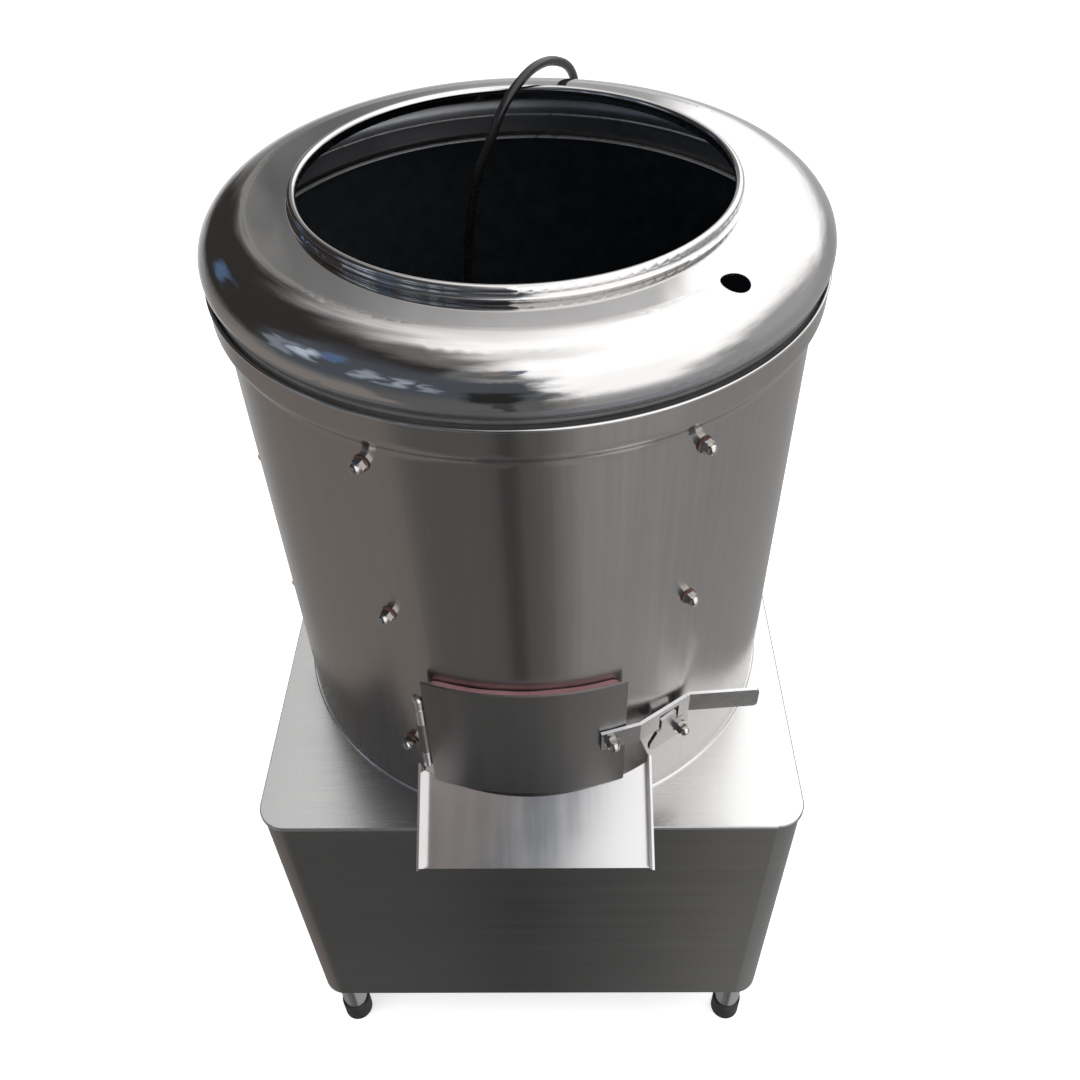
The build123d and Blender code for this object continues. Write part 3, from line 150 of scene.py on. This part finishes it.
def round_coordinates(tree, scale):
    """(radius, height, turn) round the drum's axis, scaled: marks of spinning run round the part."""
    where = node(tree, "ShaderNodeTexCoord")
    split = node(tree, "ShaderNodeSeparateXYZ")
    tree.links.new(where.outputs["Object"], split.inputs["Vector"])
    flat = node(tree, "ShaderNodeCombineXYZ")
    tree.links.new(split.outputs["X"], flat.inputs["X"])
    tree.links.new(split.outputs["Y"], flat.inputs["Y"])
    length = node(tree, "ShaderNodeVectorMath", operation="LENGTH")
    tree.links.new(flat.outputs["Vector"], length.inputs[0])
    angle = node(tree, "ShaderNodeMath", operation="ARCTAN2")
    tree.links.new(split.outputs["Y"], angle.inputs[0])
    tree.links.new(split.outputs["X"], angle.inputs[1])
    joined = node(tree, "ShaderNodeCombineXYZ")
    tree.links.new(length.outputs["Value"], joined.inputs["X"])
    tree.links.new(split.outputs["Z"], joined.inputs["Y"])
    tree.links.new(angle.outputs["Value"], joined.inputs["Z"])
    mapping = node(tree, "ShaderNodeMapping")
    mapping.inputs["Scale"].default_value = scale
    tree.links.new(joined.outputs["Vector"], mapping.inputs["Vector"])
    return mapping.outputs["Vector"]


def noise(tree, vector, scale, detail=4.0, rough=0.55):
    made = node(tree, "ShaderNodeTexNoise")
    made.inputs["Scale"].default_value = scale
    made.inputs["Detail"].default_value = detail
    made.inputs["Roughness"].default_value = rough
    tree.links.new(vector, made.inputs["Vector"])
    return made.outputs["Fac"]


def spread(tree, value, low, high, start=0.3, end=0.7):
    """Value from start to end laid out from low to high."""
    made = node(tree, "ShaderNodeMapRange")
    made.inputs["From Min"].default_value = start
    made.inputs["From Max"].default_value = end
    made.inputs["To Min"].default_value = low
    made.inputs["To Max"].default_value = high
    tree.links.new(value, made.inputs["Value"])
    return made.outputs["Result"]


def tinted(tree, shader, factor, dark, light):
    """Base colour between dark and light by a factor; gives the mix for a finer light colour."""
    mix = node(tree, "ShaderNodeMix", data_type="RGBA")
    mix.inputs["A"].default_value = (*dark, 1)
    mix.inputs["B"].default_value = (*light, 1)
    tree.links.new(factor, mix.inputs["Factor"])
    tree.links.new(mix.outputs["Result"], shader.inputs["Base Color"])
    return mix


def bumped(tree, shader, height, strength, distance=0.001):
    bump = node(tree, "ShaderNodeBump")
    bump.inputs["Strength"].default_value = strength
    bump.inputs["Distance"].default_value = distance
    tree.links.new(height, bump.inputs["Height"])
    tree.links.new(bump.outputs["Normal"], shader.inputs["Normal"])


def added(tree, first, second, weight):
    """first + second * weight."""
    made = node(tree, "ShaderNodeMath", operation="MULTIPLY_ADD")
    tree.links.new(second, made.inputs[0])
    made.inputs[1].default_value = weight
    tree.links.new(first, made.inputs[2])
    return made.outputs["Value"]


def calc(tree, operation, *inputs):
    """Math node on sockets and numbers."""
    made = node(tree, "ShaderNodeMath", operation=operation)
    for slot_number, value in enumerate(inputs):
        if isinstance(value, (int, float)):
            made.inputs[slot_number].default_value = value
        else:
            tree.links.new(value, made.inputs[slot_number])
    return made.outputs["Value"]


def step(tree, value, start, end):
    """0 before start, 1 after end, smooth between them; falls where start is past end."""
    made = node(tree, "ShaderNodeMapRange", interpolation_type="SMOOTHSTEP")
    made.inputs["From Min"].default_value = start
    made.inputs["From Max"].default_value = end
    tree.links.new(value, made.inputs["Value"])
    return made.outputs["Result"]


def brushed(name, dark, light, rough_low, rough_high, grain, patch=6.0, strength=0.06, turned=False, lengthwise=0.0,
            metallic=1.0):
    """Stainless sheet: stretched grain, cloudy patches in colour and roughness, and a faint waviness."""
    mat, tree, shader = new_material(name, light, metallic, rough_low)
    lines = noise(tree, round_coordinates(tree, grain) if turned else stretched(tree, grain), 1.0, 3.0, 0.7)
    cloud = noise(tree, stretched(tree, (1, 1, 1)), patch, 5.0, 0.6)
    tone = added(tree, lines, cloud, 1.0)
    tinted(tree, shader, spread(tree, tone, 0, 1, 0.7, 1.3), dark, light)
    tree.links.new(spread(tree, tone, rough_low, rough_high, 0.7, 1.3), shader.inputs["Roughness"])
    wave = noise(tree, stretched(tree, (1, 1, 1)), patch * 1.5, 1.0, 0.4)
    bumped(tree, shader, added(tree, lines, wave, 6.0), strength, 0.0004)
    if lengthwise:
        shader.inputs["Anisotropic"].default_value = lengthwise
        shader.inputs["Anisotropic Rotation"].default_value = 0.25
        tangent = node(tree, "ShaderNodeTangent", direction_type="RADIAL", axis="Z")
        tree.links.new(tangent.outputs["Tangent"], shader.inputs["Tangent"])
    return mat


mats = {
    "drum_steel": brushed("drum_satin", (0.455, 0.432, 0.418), (0.50, 0.478, 0.462), 0.19, 0.24, (160, 160, 3), 5.0,
                          0.03, lengthwise=0.75),
    "hood_steel": brushed("hood_mirror", (0.63, 0.62, 0.615), (0.66, 0.65, 0.645), 0.04, 0.07, (500, 500, 2), 5.0,
                          0.006, turned=True),
    "plate_steel": brushed("plate_brushed", (0.70, 0.70, 0.695), (0.74, 0.74, 0.735), 0.24, 0.30, (3, 120, 120), 6.0,
                           0.008),
    "cabinet_steel": brushed("cabinet_satin", (0.29, 0.285, 0.278), (0.345, 0.338, 0.33), 0.22, 0.28, (3, 3, 120),
                             4.0, 0.012),
    "trim_steel": brushed("trim_satin", (0.66, 0.65, 0.645), (0.73, 0.72, 0.715), 0.12, 0.18, (40, 40, 40), 14.0,
                          0.01),
    "fastener_steel": brushed("fastener_polished", (0.46, 0.44, 0.42), (0.72, 0.70, 0.68), 0.06, 0.14,
                              (200, 200, 200), 60.0, 0.04),
    "shaft_steel": brushed("shaft_ground", (0.42, 0.42, 0.42), (0.55, 0.55, 0.55), 0.18, 0.30, (900, 900, 4), 30.0),
}
# Door, hinge, latch and chute each have their own finish, and the hood is left dull inside
door_satin = brushed("door_satin", (0.27, 0.262, 0.256), (0.31, 0.302, 0.295), 0.38, 0.44, (90, 90, 4), 9.0, 0.008)
hinge_satin = brushed("hinge_satin", (0.50, 0.49, 0.48), (0.74, 0.73, 0.72), 0.12, 0.24, (60, 60, 60), 40.0, 0.03,
                      metallic=0.9)
# Painted light: a pale, mostly diffuse finish for the chute's right flange inside
flange_painted_light = brushed("flange_painted_light", (0.70, 0.68, 0.67), (0.80, 0.78, 0.77), 0.45, 0.55, (60, 60, 60), 20.0, 0.01,
                       metallic=0.2)
latch_satin = brushed("latch_satin", (0.36, 0.352, 0.346), (0.42, 0.411, 0.404), 0.22, 0.30, (90, 90, 90), 14.0, 0.01)
# Painted shade: a dark finish for the lever's and catch's sides towards the drum
latch_painted_shade = brushed("latch_painted_shade", (0.08, 0.079, 0.078), (0.12, 0.118, 0.116), 0.45, 0.55, (90, 90, 90), 14.0, 0.02)
# Painted highlight: a pale, partly diffuse finish for the lever's and catch's top faces and the thin edges in the
# feed opening
edge_painted_highlight = brushed("edge_painted_highlight", (0.75, 0.75, 0.77), (0.88, 0.88, 0.90), 0.25, 0.35, (60, 60, 60), 40.0, 0.01,
                      metallic=0.55)
hood_inside = brushed("hood_inside", (0.44, 0.45, 0.48), (0.54, 0.55, 0.58), 0.36, 0.46, (200, 200, 2), 8.0, 0.02,
                      turned=True)
chute_mirror = brushed("chute_mirror", (0.60, 0.59, 0.59), (0.68, 0.67, 0.67), 0.10, 0.15, (60, 4, 4), 12.0, 0.006)


def plain(name, dark, light, rough_low, rough_high, scale, strength, metallic=0.0, distance=0.0005):
    """Cast, moulded or painted surface with a fine grain."""
    mat, tree, shader = new_material(name, light, metallic, rough_low)
    grain = noise(tree, stretched(tree, (1, 1, 1)), scale, 6.0, 0.65)
    cloud = noise(tree, stretched(tree, (1, 1, 1)), scale / 12, 3.0, 0.5)
    tinted(tree, shader, spread(tree, cloud, 0, 1), dark, light)
    tree.links.new(spread(tree, grain, rough_low, rough_high), shader.inputs["Roughness"])
    bumped(tree, shader, grain, strength, distance)
    return mat


mats["silicone"] = plain("gasket_rubber", (0.20, 0.098, 0.106), (0.27, 0.138, 0.148), 0.5, 0.7, 500, 0.25)
mats["black_rubber"] = plain("rubber_black", (0.015, 0.015, 0.015), (0.035, 0.034, 0.033), 0.5, 0.7, 700, 0.3)
mats["cord_rubber"] = plain("cord_black", (0.006, 0.006, 0.007), (0.016, 0.016, 0.017), 0.2, 0.3, 900, 0.06)
mats["abrasive"] = plain("liner_grit", (0.003, 0.006, 0.009), (0.011, 0.016, 0.021), 0.6, 0.9, 900, 0.9,
                         distance=0.0015)
mats["disc_metal"] = plain("disc_grit", (0.012, 0.012, 0.013), (0.040, 0.040, 0.041), 0.55, 0.85, 800, 0.9,
                           distance=0.0015)
mats["pulley_iron"] = plain("pulley_cast", (0.13, 0.13, 0.13), (0.22, 0.22, 0.22), 0.4, 0.6, 400, 0.3, 0.6)
mats["housing_iron"] = plain("housing_cast", (0.20, 0.21, 0.21), (0.30, 0.31, 0.31), 0.4, 0.6, 400, 0.3)
mats["motor_paint"] = plain("motor_enamel", (0.09, 0.12, 0.15), (0.14, 0.18, 0.22), 0.3, 0.5, 500, 0.15)
mats["fan_plastic"] = plain("fan_moulded", (0.02, 0.02, 0.02), (0.04, 0.04, 0.04), 0.45, 0.6, 900, 0.1)
mats["box_plastic"] = plain("box_moulded", (0.03, 0.03, 0.03), (0.055, 0.055, 0.055), 0.42, 0.58, 1200, 0.2)
mats["start_plastic"] = plain("start_green", (0.02, 0.25, 0.06), (0.03, 0.34, 0.09), 0.22, 0.34, 600, 0.05)
mats["stop_plastic"] = plain("stop_red", (0.45, 0.02, 0.015), (0.58, 0.03, 0.02), 0.22, 0.34, 600, 0.05)
mats["plug_plastic"] = plain("plug_moulded", (0.012, 0.012, 0.012), (0.028, 0.028, 0.028), 0.38, 0.52, 900, 0.12)

slot_of = {part["node"]: part["material_slot"] for part in frame["record"]["subparts"]}


def dress(obj, slot_name):
    obj.data.materials.clear()
    obj.data.materials.append(mats[slot_name])


SHARP_ANGLE = math.radians(32)
own_finish = {
    "door_plate": door_satin, "hinge_drum_leaf": hinge_satin, "hinge_door_knuckle": door_satin,
    "hinge_pin": hinge_satin, "discharge_chute": chute_mirror, "latch_lever": latch_satin,
    "catch_plate": latch_satin,
}
for name, obj in nodes.items():
    dress(obj, slot_of[name])
    if name in own_finish:
        obj.data.materials[0] = own_finish[name]
    obj.data.set_sharp_from_angle(angle=SHARP_ANGLE)
dress(cord_piece, "cord_rubber")

# Cap nuts: polished, each washer against the drum dark reddish brown and dull
nut_mat, nut_tree, nut_shader = new_material("nut_on_washer", (0.6, 0.58, 0.56), 1.0, 0.1)
nut_place = node(nut_tree, "ShaderNodeSeparateXYZ")
nut_tree.links.new(round_coordinates(nut_tree, (1, 1, 1)), nut_place.inputs["Vector"])
is_nut = step(nut_tree, nut_place.outputs["X"], WASHER_FACE - 0.0001, WASHER_FACE + 0.0001)
nut_cloud = noise(nut_tree, stretched(nut_tree, (1, 1, 1)), 300, 4.0, 0.6)
nut_steel = node(nut_tree, "ShaderNodeMix", data_type="RGBA")
nut_steel.inputs["A"].default_value = (0.44, 0.41, 0.39, 1)
nut_steel.inputs["B"].default_value = (0.72, 0.70, 0.68, 1)
nut_tree.links.new(nut_cloud, nut_steel.inputs["Factor"])
nut_tone = tinted(nut_tree, nut_shader, is_nut, (0.10, 0.045, 0.035), (0.6, 0.58, 0.56))
nut_tree.links.new(nut_steel.outputs["Result"], nut_tone.inputs["B"])
nut_tree.links.new(is_nut, nut_shader.inputs["Metallic"])
nut_tree.links.new(spread(nut_tree, is_nut, 0.6, 0.1, 0, 1), nut_shader.inputs["Roughness"])
nodes["liner_nuts"].data.materials[0] = nut_mat



def outward(face):
    """How much a face looks away from the drum's axis, in metres: its centre's reach along its normal."""
    return face.center.x * face.normal.x + face.center.y * face.normal.y


def refinish(mesh, mat, chosen):
    """Give a material to the faces that a test picks."""
    mesh.materials.append(mat)
    for face in mesh.polygons:
        if chosen(face):
            face.material_index = len(mesh.materials) - 1


# The chute's right flange is pale and mostly diffuse inside: painted light, so that the drum next to the door mirrors
# it bright
chute_mesh = nodes["discharge_chute"].data
refinish(chute_mesh, flange_painted_light, lambda face: face.normal.x < -0.9 and face.center.x > 0.09)

# Lever and catch: a painted highlight on the top faces, and painted shade on the side towards the drum, a dark finish
# there
for name in ("latch_lever", "catch_plate"):
    refinish(nodes[name].data, edge_painted_highlight, lambda face: face.normal.z > 0.7)
    refinish(nodes[name].data, latch_painted_shade, lambda face: face.normal.z <= 0.7 and outward(face) < -0.12)

# The plate's right side faces get the cabinet's darker satin steel
refinish(nodes["top_plate"].data, mats["cabinet_steel"], lambda face: face.normal.x > 0.05)

# The hood's inside keeps its dull mill finish
hood_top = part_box("hood")[1][2]
refinish(nodes["hood"].data, hood_inside, lambda face: (
    face.center.z < hood_top - RIM_BEAD_DEPTH and (face.normal.z < -0.15 or outward(face) < -0.001)))


def placed(name, mesh, body, slot_name, material=None):
    """New piece from a mesh, smooth, riding on a body and finished from a slot."""
    for face in mesh.polygons:
        face.use_smooth = True
    piece = bpy.data.objects.new(name, mesh)
    scene.collection.objects.link(piece)
    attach(piece, body)
    mesh.materials.append(material or mats[slot_name])
    return piece


def turned_mesh(name, profile, segments=192):
    """Closed profile of (radius, height) points turned round the drum's axis."""
    count = len(profile)
    verts = []
    faces = []
    for turn in range(segments):
        angle = math.tau * turn / segments
        verts += [(radius * math.cos(angle), radius * math.sin(angle), height) for radius, height in profile]
        here, after = turn * count, (turn + 1) % segments * count
        for at in range(count):
            ahead = (at + 1) % count
            faces.append((here + at, after + at, after + ahead, here + ahead))
    mesh = bpy.data.meshes.new(name)
    mesh.from_pydata(verts, [], faces)
    return mesh


def ring_profile(radius, height, half_width, half_height, points=14):
    """Oval section of a bead, as (radius, height) points."""
    angles = [math.tau * at / points for at in range(points)]
    return [(radius + half_width * math.cos(angle), height + half_height * math.sin(angle)) for angle in angles]


# Rolled edges on the drum's lip and the hood's foot, and the steel edges seen inside the feed opening, whose pale
# finish is a painted highlight
lip_radius, lip_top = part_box("drum_lip_ring")[1][0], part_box("drum_lip_ring")[1][2]
liner_radius, liner_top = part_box("abrasive_liner")[1][0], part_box("abrasive_liner")[1][2]
hood_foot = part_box("hood_seal")[1][2]
# name, radius, height, half width, half height, slot, material
RINGS = [
    ("lip_rolled_edge", lip_radius - 0.0006, lip_top - 0.0009, 0.0013, 0.0013, "drum_steel", mats["hood_steel"]),
    ("liner_edge_band", liner_radius - 0.0023, liner_top + 0.0002, 0.0027, 0.0011, "trim_steel", edge_painted_highlight),
    ("hood_inner_bead", DRUM_RADIUS - 0.0021, lip_top + 0.0072, 0.0010, 0.0010, "hood_steel", edge_painted_highlight),
    ("hood_rolled_edge", HOOD_LIP_RADIUS - 0.0005, hood_foot + 0.0009, 0.0012, 0.0010, "hood_steel", None),
]
for name, radius, height, half_width, half_height, slot_name, finish in RINGS:
    ring = turned_mesh(name, ring_profile(radius, height, half_width, half_height))
    placed(name, ring, "machine", slot_name, finish)

# Seal between hood and lip: the part in the joint bulges out between the two edges
seal_low, seal_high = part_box("hood_seal")
seal_inner, seal_outer = DRUM_RADIUS + 0.0003, seal_high[0]
bulge_middle, bulge_half = (lip_top + seal_high[2]) / 2 + 0.0004, (seal_high[2] - lip_top) / 2 - 0.0007
seal_profile = [
    (seal_inner, seal_low[2] + 0.0002), (seal_outer - 0.0007, seal_low[2] + 0.0002),
    (seal_outer - 0.0004, seal_low[2] + 0.0006), (seal_outer - 0.0013, lip_top - 0.0030),
    (seal_outer - 0.0026, lip_top - 0.0004),
]
for at in range(9):
    angle = math.pi * (at / 8 - 0.5)
    seal_profile.append(
        (seal_outer - 0.0026 + 0.0018 * math.cos(angle), bulge_middle + bulge_half * math.sin(angle)))
seal_profile += [(seal_outer - 0.0032, seal_high[2] - 0.0002), (seal_inner, seal_high[2] - 0.0002)]
seal_mat = plain("seal_rubber", (0.10, 0.098, 0.096), (0.14, 0.137, 0.135), 0.28, 0.38, 500, 0.05)
seal_mesh = turned_mesh("hood_seal_bead", seal_profile)
seal_piece = placed("hood_seal_bead", seal_mesh, "machine", "black_rubber", seal_mat)
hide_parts("hood_seal")


def rounded_loop(half_width, half_height, centre, corner, side_points=22, corner_points=7):
    """Points (across, up) round a rectangle with round corners, as many for any size."""
    corners = []
    for number, (side_x, side_z) in enumerate(((1, 1), (-1, 1), (-1, -1), (1, -1))):
        middle = (side_x * (half_width - corner), centre + side_z * (half_height - corner))
        corners.append([
            (middle[0] + corner * math.cos(math.pi / 2 * (number + at / (corner_points - 1))),
             middle[1] + corner * math.sin(math.pi / 2 * (number + at / (corner_points - 1))))
            for at in range(corner_points)
        ])
    loop = []
    for number, arc in enumerate(corners):
        start, end = arc[-1], corners[(number + 1) % 4][0]
        loop += arc + [
            (start[0] + (end[0] - start[0]) * at / (side_points + 1),
             start[1] + (end[1] - start[1]) * at / (side_points + 1))
            for at in range(1, side_points + 1)
        ]
    return loop


# Door gasket: soft frame behind the door plate, with rounded edges and slightly wavy runs
gasket_low, gasket_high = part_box("door_gasket")
gasket_back, gasket_face = DRUM_RADIUS + 0.0005, DRUM_RADIUS + 0.0058
gasket_middle, gasket_half = (gasket_high[2] + gasket_low[2]) / 2, (gasket_high[2] - gasket_low[2]) / 2
inner_loop = rounded_loop(PORT_HALF_WIDTH, PORT_HALF_HEIGHT, PORT_MIDDLE, 0.008)
outer_loop = rounded_loop(GASKET_HALF_WIDTH, gasket_half - 0.0002, gasket_middle, 0.006)
# Section points as shares: across from the port to the outer edge, and in depth from the drum to the door
ROUNDING = 0.24
section = []
for number, (side, depth) in enumerate(((1, 1), (0, 1), (0, 0), (1, 0))):
    for at in range(5):
        angle = math.pi / 2 * (number + at / 4)
        section.append((side + (1 - 2 * side) * ROUNDING + ROUNDING * math.cos(angle),
                        depth + (1 - 2 * depth) * ROUNDING + ROUNDING * math.sin(angle)))
gasket_verts = []
gasket_faces = []
for at, (inner, outer) in enumerate(zip(inner_loop, outer_loop)):
    pinch = 1 - 0.05 * abs(math.sin(at * 0.47)) - 0.03 * abs(math.sin(at * 0.21 + 1))
    wave = 0.00015 * (math.sin(at * 0.83) + math.sin(at * 0.31 + 1))
    for share, depth in section:
        across = inner[0] + (outer[0] - inner[0]) * share * pinch
        up = inner[1] + (outer[1] - inner[1]) * share * pinch
        away = gasket_back + (gasket_face - gasket_back) * depth + wave * (1 - depth)
        gasket_verts.append((away * math.sin(across / DRUM_RADIUS), -away * math.cos(across / DRUM_RADIUS), up))
    here, after = at * len(section), (at + 1) % len(inner_loop) * len(section)
    gasket_faces += [(here + k, here + (k + 1) % len(section), after + (k + 1) % len(section), after + k)
                     for k in range(len(section))]
gasket_mesh = bpy.data.meshes.new("door_gasket_soft")
gasket_mesh.from_pydata(gasket_verts, [], gasket_faces)
gasket_piece = placed("door_gasket_soft", gasket_mesh, "door", "silicone")
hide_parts("door_gasket")


# Chute: the solid's form with its flanges cut square to the slope at the drum
FLANGE_FROM_MIDDLE = 0.098
FLANGE_END = (-0.215, 0.510)
FLANGE_CORNER_FROM = 0.5235
CUT_RIGHT, CUT_LEFT = 0.0107, 0.014
CORNER_DROP = 0.0202
trimmed_mesh = chute_mesh.copy()
trimmed_mesh.name = "chute_trimmed"
for vert in trimmed_mesh.vertices:
    on_flange = abs(vert.co.x - CHUTE_MIDDLE) > FLANGE_FROM_MIDDLE
    if not (on_flange and vert.co.y > FLANGE_END[0] and vert.co.z > FLANGE_END[1]):
        continue
    if vert.co.z > FLANGE_CORNER_FROM:
        slide = CUT_RIGHT if vert.co.x > 0 else CUT_LEFT
        vert.co.y -= slide * math.cos(CHUTE_SLOPE)
        vert.co.z -= slide * math.sin(CHUTE_SLOPE)
    else:
        vert.co.z -= CORNER_DROP
chute_piece = bpy.data.objects.new("chute_trimmed", trimmed_mesh)
scene.collection.objects.link(chute_piece)
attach(chute_piece, "machine")
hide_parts("discharge_chute")


def shown_rays(tree):
    """1 on the rays that show the background: camera, glossy and transmission."""
    paths = node(tree, "ShaderNodeLightPath")
    return calc(tree, "MAXIMUM", paths.outputs["Is Camera Ray"],
                calc(tree, "MAXIMUM", paths.outputs["Is Glossy Ray"], paths.outputs["Is Transmission Ray"]))


# Floor and studio
FLOOR_HALF = 12
FLOOR_GLOW = 0.6
ROOM_LEVEL = 0.45
floor_mesh = bpy.data.meshes.new("studio_floor")
floor_mesh.from_pydata(
    [(-FLOOR_HALF, -FLOOR_HALF, 0), (FLOOR_HALF, -FLOOR_HALF, 0), (FLOOR_HALF, FLOOR_HALF, 0),
     (-FLOOR_HALF, FLOOR_HALF, 0)],
    [], [(0, 1, 2, 3)],
)
floor = bpy.data.objects.new("studio_floor", floor_mesh)
scene.collection.objects.link(floor)
floor_mat, floor_tree, floor_shader = new_material("floor_white", (0.86, 0.86, 0.86), 0.0, 0.9)
floor_mesh.materials.append(floor_mat)
floor_shader.inputs["Emission Color"].default_value = (1, 1, 1, 1)
floor_glow = calc(floor_tree, "MULTIPLY", shown_rays(floor_tree), FLOOR_GLOW)
floor_tree.links.new(floor_glow, floor_shader.inputs["Emission Strength"])


def softbox(name, place, target, width, height, power, color=(1, 1, 1)):
    data = bpy.data.lights.new(name, "AREA")
    data.shape = "RECTANGLE"
    data.size = width
    data.size_y = height
    data.energy = power
    data.color = color
    lamp = bpy.data.objects.new(name, data)
    lamp.location = place
    lamp.rotation_euler = (Vector(target) - Vector(place)).to_track_quat("-Z", "Y").to_euler()
    scene.collection.objects.link(lamp)
    return lamp


for lamp in (
    softbox("key_softbox", (1.9, 1.6, 2.6), (0.1, 0, 0.7), 2.2, 1.8, 45),
    softbox("top_softbox", (0.5, -0.3, 3.2), (0, 0, 0.7), 2.4, 2.4, 60),
    softbox("fill_softbox", (-2.4, -1.6, 1.8), (0, 0, 0.5), 1.6, 1.6, 20),
):
    lamp.visible_glossy = False

# Studio tent: what the steel mirrors, a white wall on the right, a white ceiling and dark cards on the left
TENT_RADIUS = 40
TENT_MIDDLE = 0.7
tent_mesh = bpy.data.meshes.new("studio_tent")
tent_form = bmesh.new()
bmesh.ops.create_uvsphere(tent_form, u_segments=96, v_segments=48, radius=TENT_RADIUS)
tent_form.to_mesh(tent_mesh)
tent_form.free()
tent = bpy.data.objects.new("studio_tent", tent_mesh)
tent.location = (0, 0, TENT_MIDDLE)
scene.collection.objects.link(tent)
tent.visible_camera = False
tent.visible_diffuse = False
tent.visible_transmission = False
tent.visible_shadow = False
# The floor is left out of what the steel mirrors: the tent's lower half stands for it
floor.visible_glossy = False

tent_mat = bpy.data.materials.new("tent_cards")
tent_mat.use_nodes = True
tent_tree = tent_mat.node_tree
tent_tree.nodes.clear()
tent_mesh.materials.append(tent_mat)
tent_where = node(tent_tree, "ShaderNodeTexCoord")
tent_split = node(tent_tree, "ShaderNodeSeparateXYZ")
tent_tree.links.new(tent_where.outputs["Object"], tent_split.inputs["Vector"])
height_share = calc(tent_tree, "DIVIDE", tent_split.outputs["Z"], TENT_RADIUS)
far_marks = stretched(tent_tree, (1, 1, 1))
true_elevation = calc(tent_tree, "DEGREES", calc(tent_tree, "ARCSINE", calc(
    tent_tree, "MAXIMUM", -1, calc(tent_tree, "MINIMUM", 1, height_share))))
true_azimuth = calc(tent_tree, "DEGREES", calc(
    tent_tree, "ARCTAN2", tent_split.outputs["X"], tent_split.outputs["Y"]))

# The cards' edges are ragged, less so low down
ragged = calc(tent_tree, "MULTIPLY_ADD", step(tent_tree, true_elevation, -35, -8), 0.9, 0.1)


def frayed(angle, scale, rough, reach):
    """Angle pushed to and fro by noise, by up to half its reach in degrees."""
    marks = calc(tent_tree, "SUBTRACT", noise(tent_tree, far_marks, scale, 5.0, rough), 0.5)
    return added(tent_tree, angle, calc(tent_tree, "MULTIPLY", ragged, marks), reach)


azimuth = frayed(true_azimuth, 0.12, 0.6, 26.0)
elevation = frayed(true_elevation, 0.15, 0.65, 14.0)

# Each card: azimuth of its middle, half width, softness, elevation of its middle, half height, softness,
# brightness, tint. Rows 1, 3 to 7, 9 and 12 to 15 and the cloth's first number come from a least squares fit
# to the photo's tones, made by another program and rounded. The other rows were set one by one.
NEUTRAL = (1, 1, 1)
WARM = (1.08, 0.98, 0.93)
COOL = (0.86, 0.97, 1.14)
BLUE = (0.55, 0.85, 1.5)
CARDS = [
    (89, 71, 9, -33, 42, 8, 0.38, NEUTRAL),
    (-95, 38, 5, -42, 26, 8, 0.25, WARM),
    (-9, 33, 21, -28, 33, 7, 0.68, NEUTRAL),
    (-119, 96, 9, 29, 33, 7, 0.04, WARM),
    (-16, 6, 28, 61, 21, 7, 1.30, NEUTRAL),
    (52, 108, 20, 89, 26, 17, 1.60, NEUTRAL),
    (94, 102, 22, 57, 48, 10, 1.60, NEUTRAL),
    (0, 190, 1, 92, 12, 9, 1.10, NEUTRAL),
    (143, 23, 14, 10, 25, 14, 1.45, NEUTRAL),
    (-162, 30, 4, -45, 50, 11, 0.145, NEUTRAL),
    (-175, 4, 1.5, -45, 26, 6, 0.065, NEUTRAL),
    (80, 21, 12, 6, 17, 11, 0.47, NEUTRAL),
    (-5, 14, 2, 25, 9, 21, 0.06, NEUTRAL),
    (-140, 50, 8, 17, 29, 13, 0.11, COOL),
    (-168, 15, 4, 51, 8, 4, 0.17, NEUTRAL),
    (-173, 8, 3, -4, 15, 5, 0.03, NEUTRAL),
    (173, 11, 2, 57, 4.5, 2, 1.50, NEUTRAL),
    (-174, 7, 2, 57, 4.5, 2, 0.22, COOL),
    (-166, 5, 3, 57, 4.5, 2, 0.26, WARM),
    (-55, 5, 2, 17, 6, 3, 0.20, BLUE),
    (-96, 3, 2, 12, 14, 4, 0.30, COOL),
    (-105, 4, 2, 18, 9, 4, 0.70, COOL),
    (-113, 5, 2, 29, 8, 3, 0.22, BLUE),
    (-129, 3, 2, 16, 11, 4, 0.42, COOL),
    (-140, 3, 2, 14, 10, 4, 0.48, COOL),
    (-151, 2, 2, 12, 9, 4, 0.38, COOL),
]
TENT_CLOTH = (0.206, 0.202, 0.198, 1)
card_color = None
for az_mid, az_half, az_soft, el_mid, el_half, el_soft, shade, tint in CARDS:
    aside = calc(tent_tree, "WRAP", calc(tent_tree, "SUBTRACT", azimuth, az_mid), 180, -180)
    turn = calc(tent_tree, "ABSOLUTE", aside)
    rise = calc(tent_tree, "ABSOLUTE", calc(tent_tree, "SUBTRACT", elevation, el_mid))
    layer = node(tent_tree, "ShaderNodeMix", data_type="RGBA")
    layer.inputs["A"].default_value = TENT_CLOTH
    layer.inputs["B"].default_value = (shade * tint[0], shade * tint[1], shade * tint[2], 1)
    tent_tree.links.new(
        calc(tent_tree, "MULTIPLY", step(tent_tree, turn, az_half + az_soft, az_half - az_soft),
             step(tent_tree, rise, el_half + el_soft, el_half - el_soft)), layer.inputs["Factor"])
    if card_color:
        tent_tree.links.new(card_color, layer.inputs["A"])
    card_color = layer.outputs["Result"]
glow = node(tent_tree, "ShaderNodeEmission")
tent_tree.links.new(card_color, glow.inputs["Color"])
tent_out = node(tent_tree, "ShaderNodeOutputMaterial")
tent_tree.links.new(glow.outputs["Emission"], tent_out.inputs["Surface"])

world = bpy.data.worlds.new("studio_world")
scene.world = world
world.use_nodes = True
sky = world.node_tree
back = sky.nodes["Background"]
back.inputs["Color"].default_value = (1, 1, 1, 1)
sky.links.new(spread(sky, shown_rays(sky), ROOM_LEVEL, 1.0, 0, 1), back.inputs["Strength"])

bpy.context.view_layer.update()
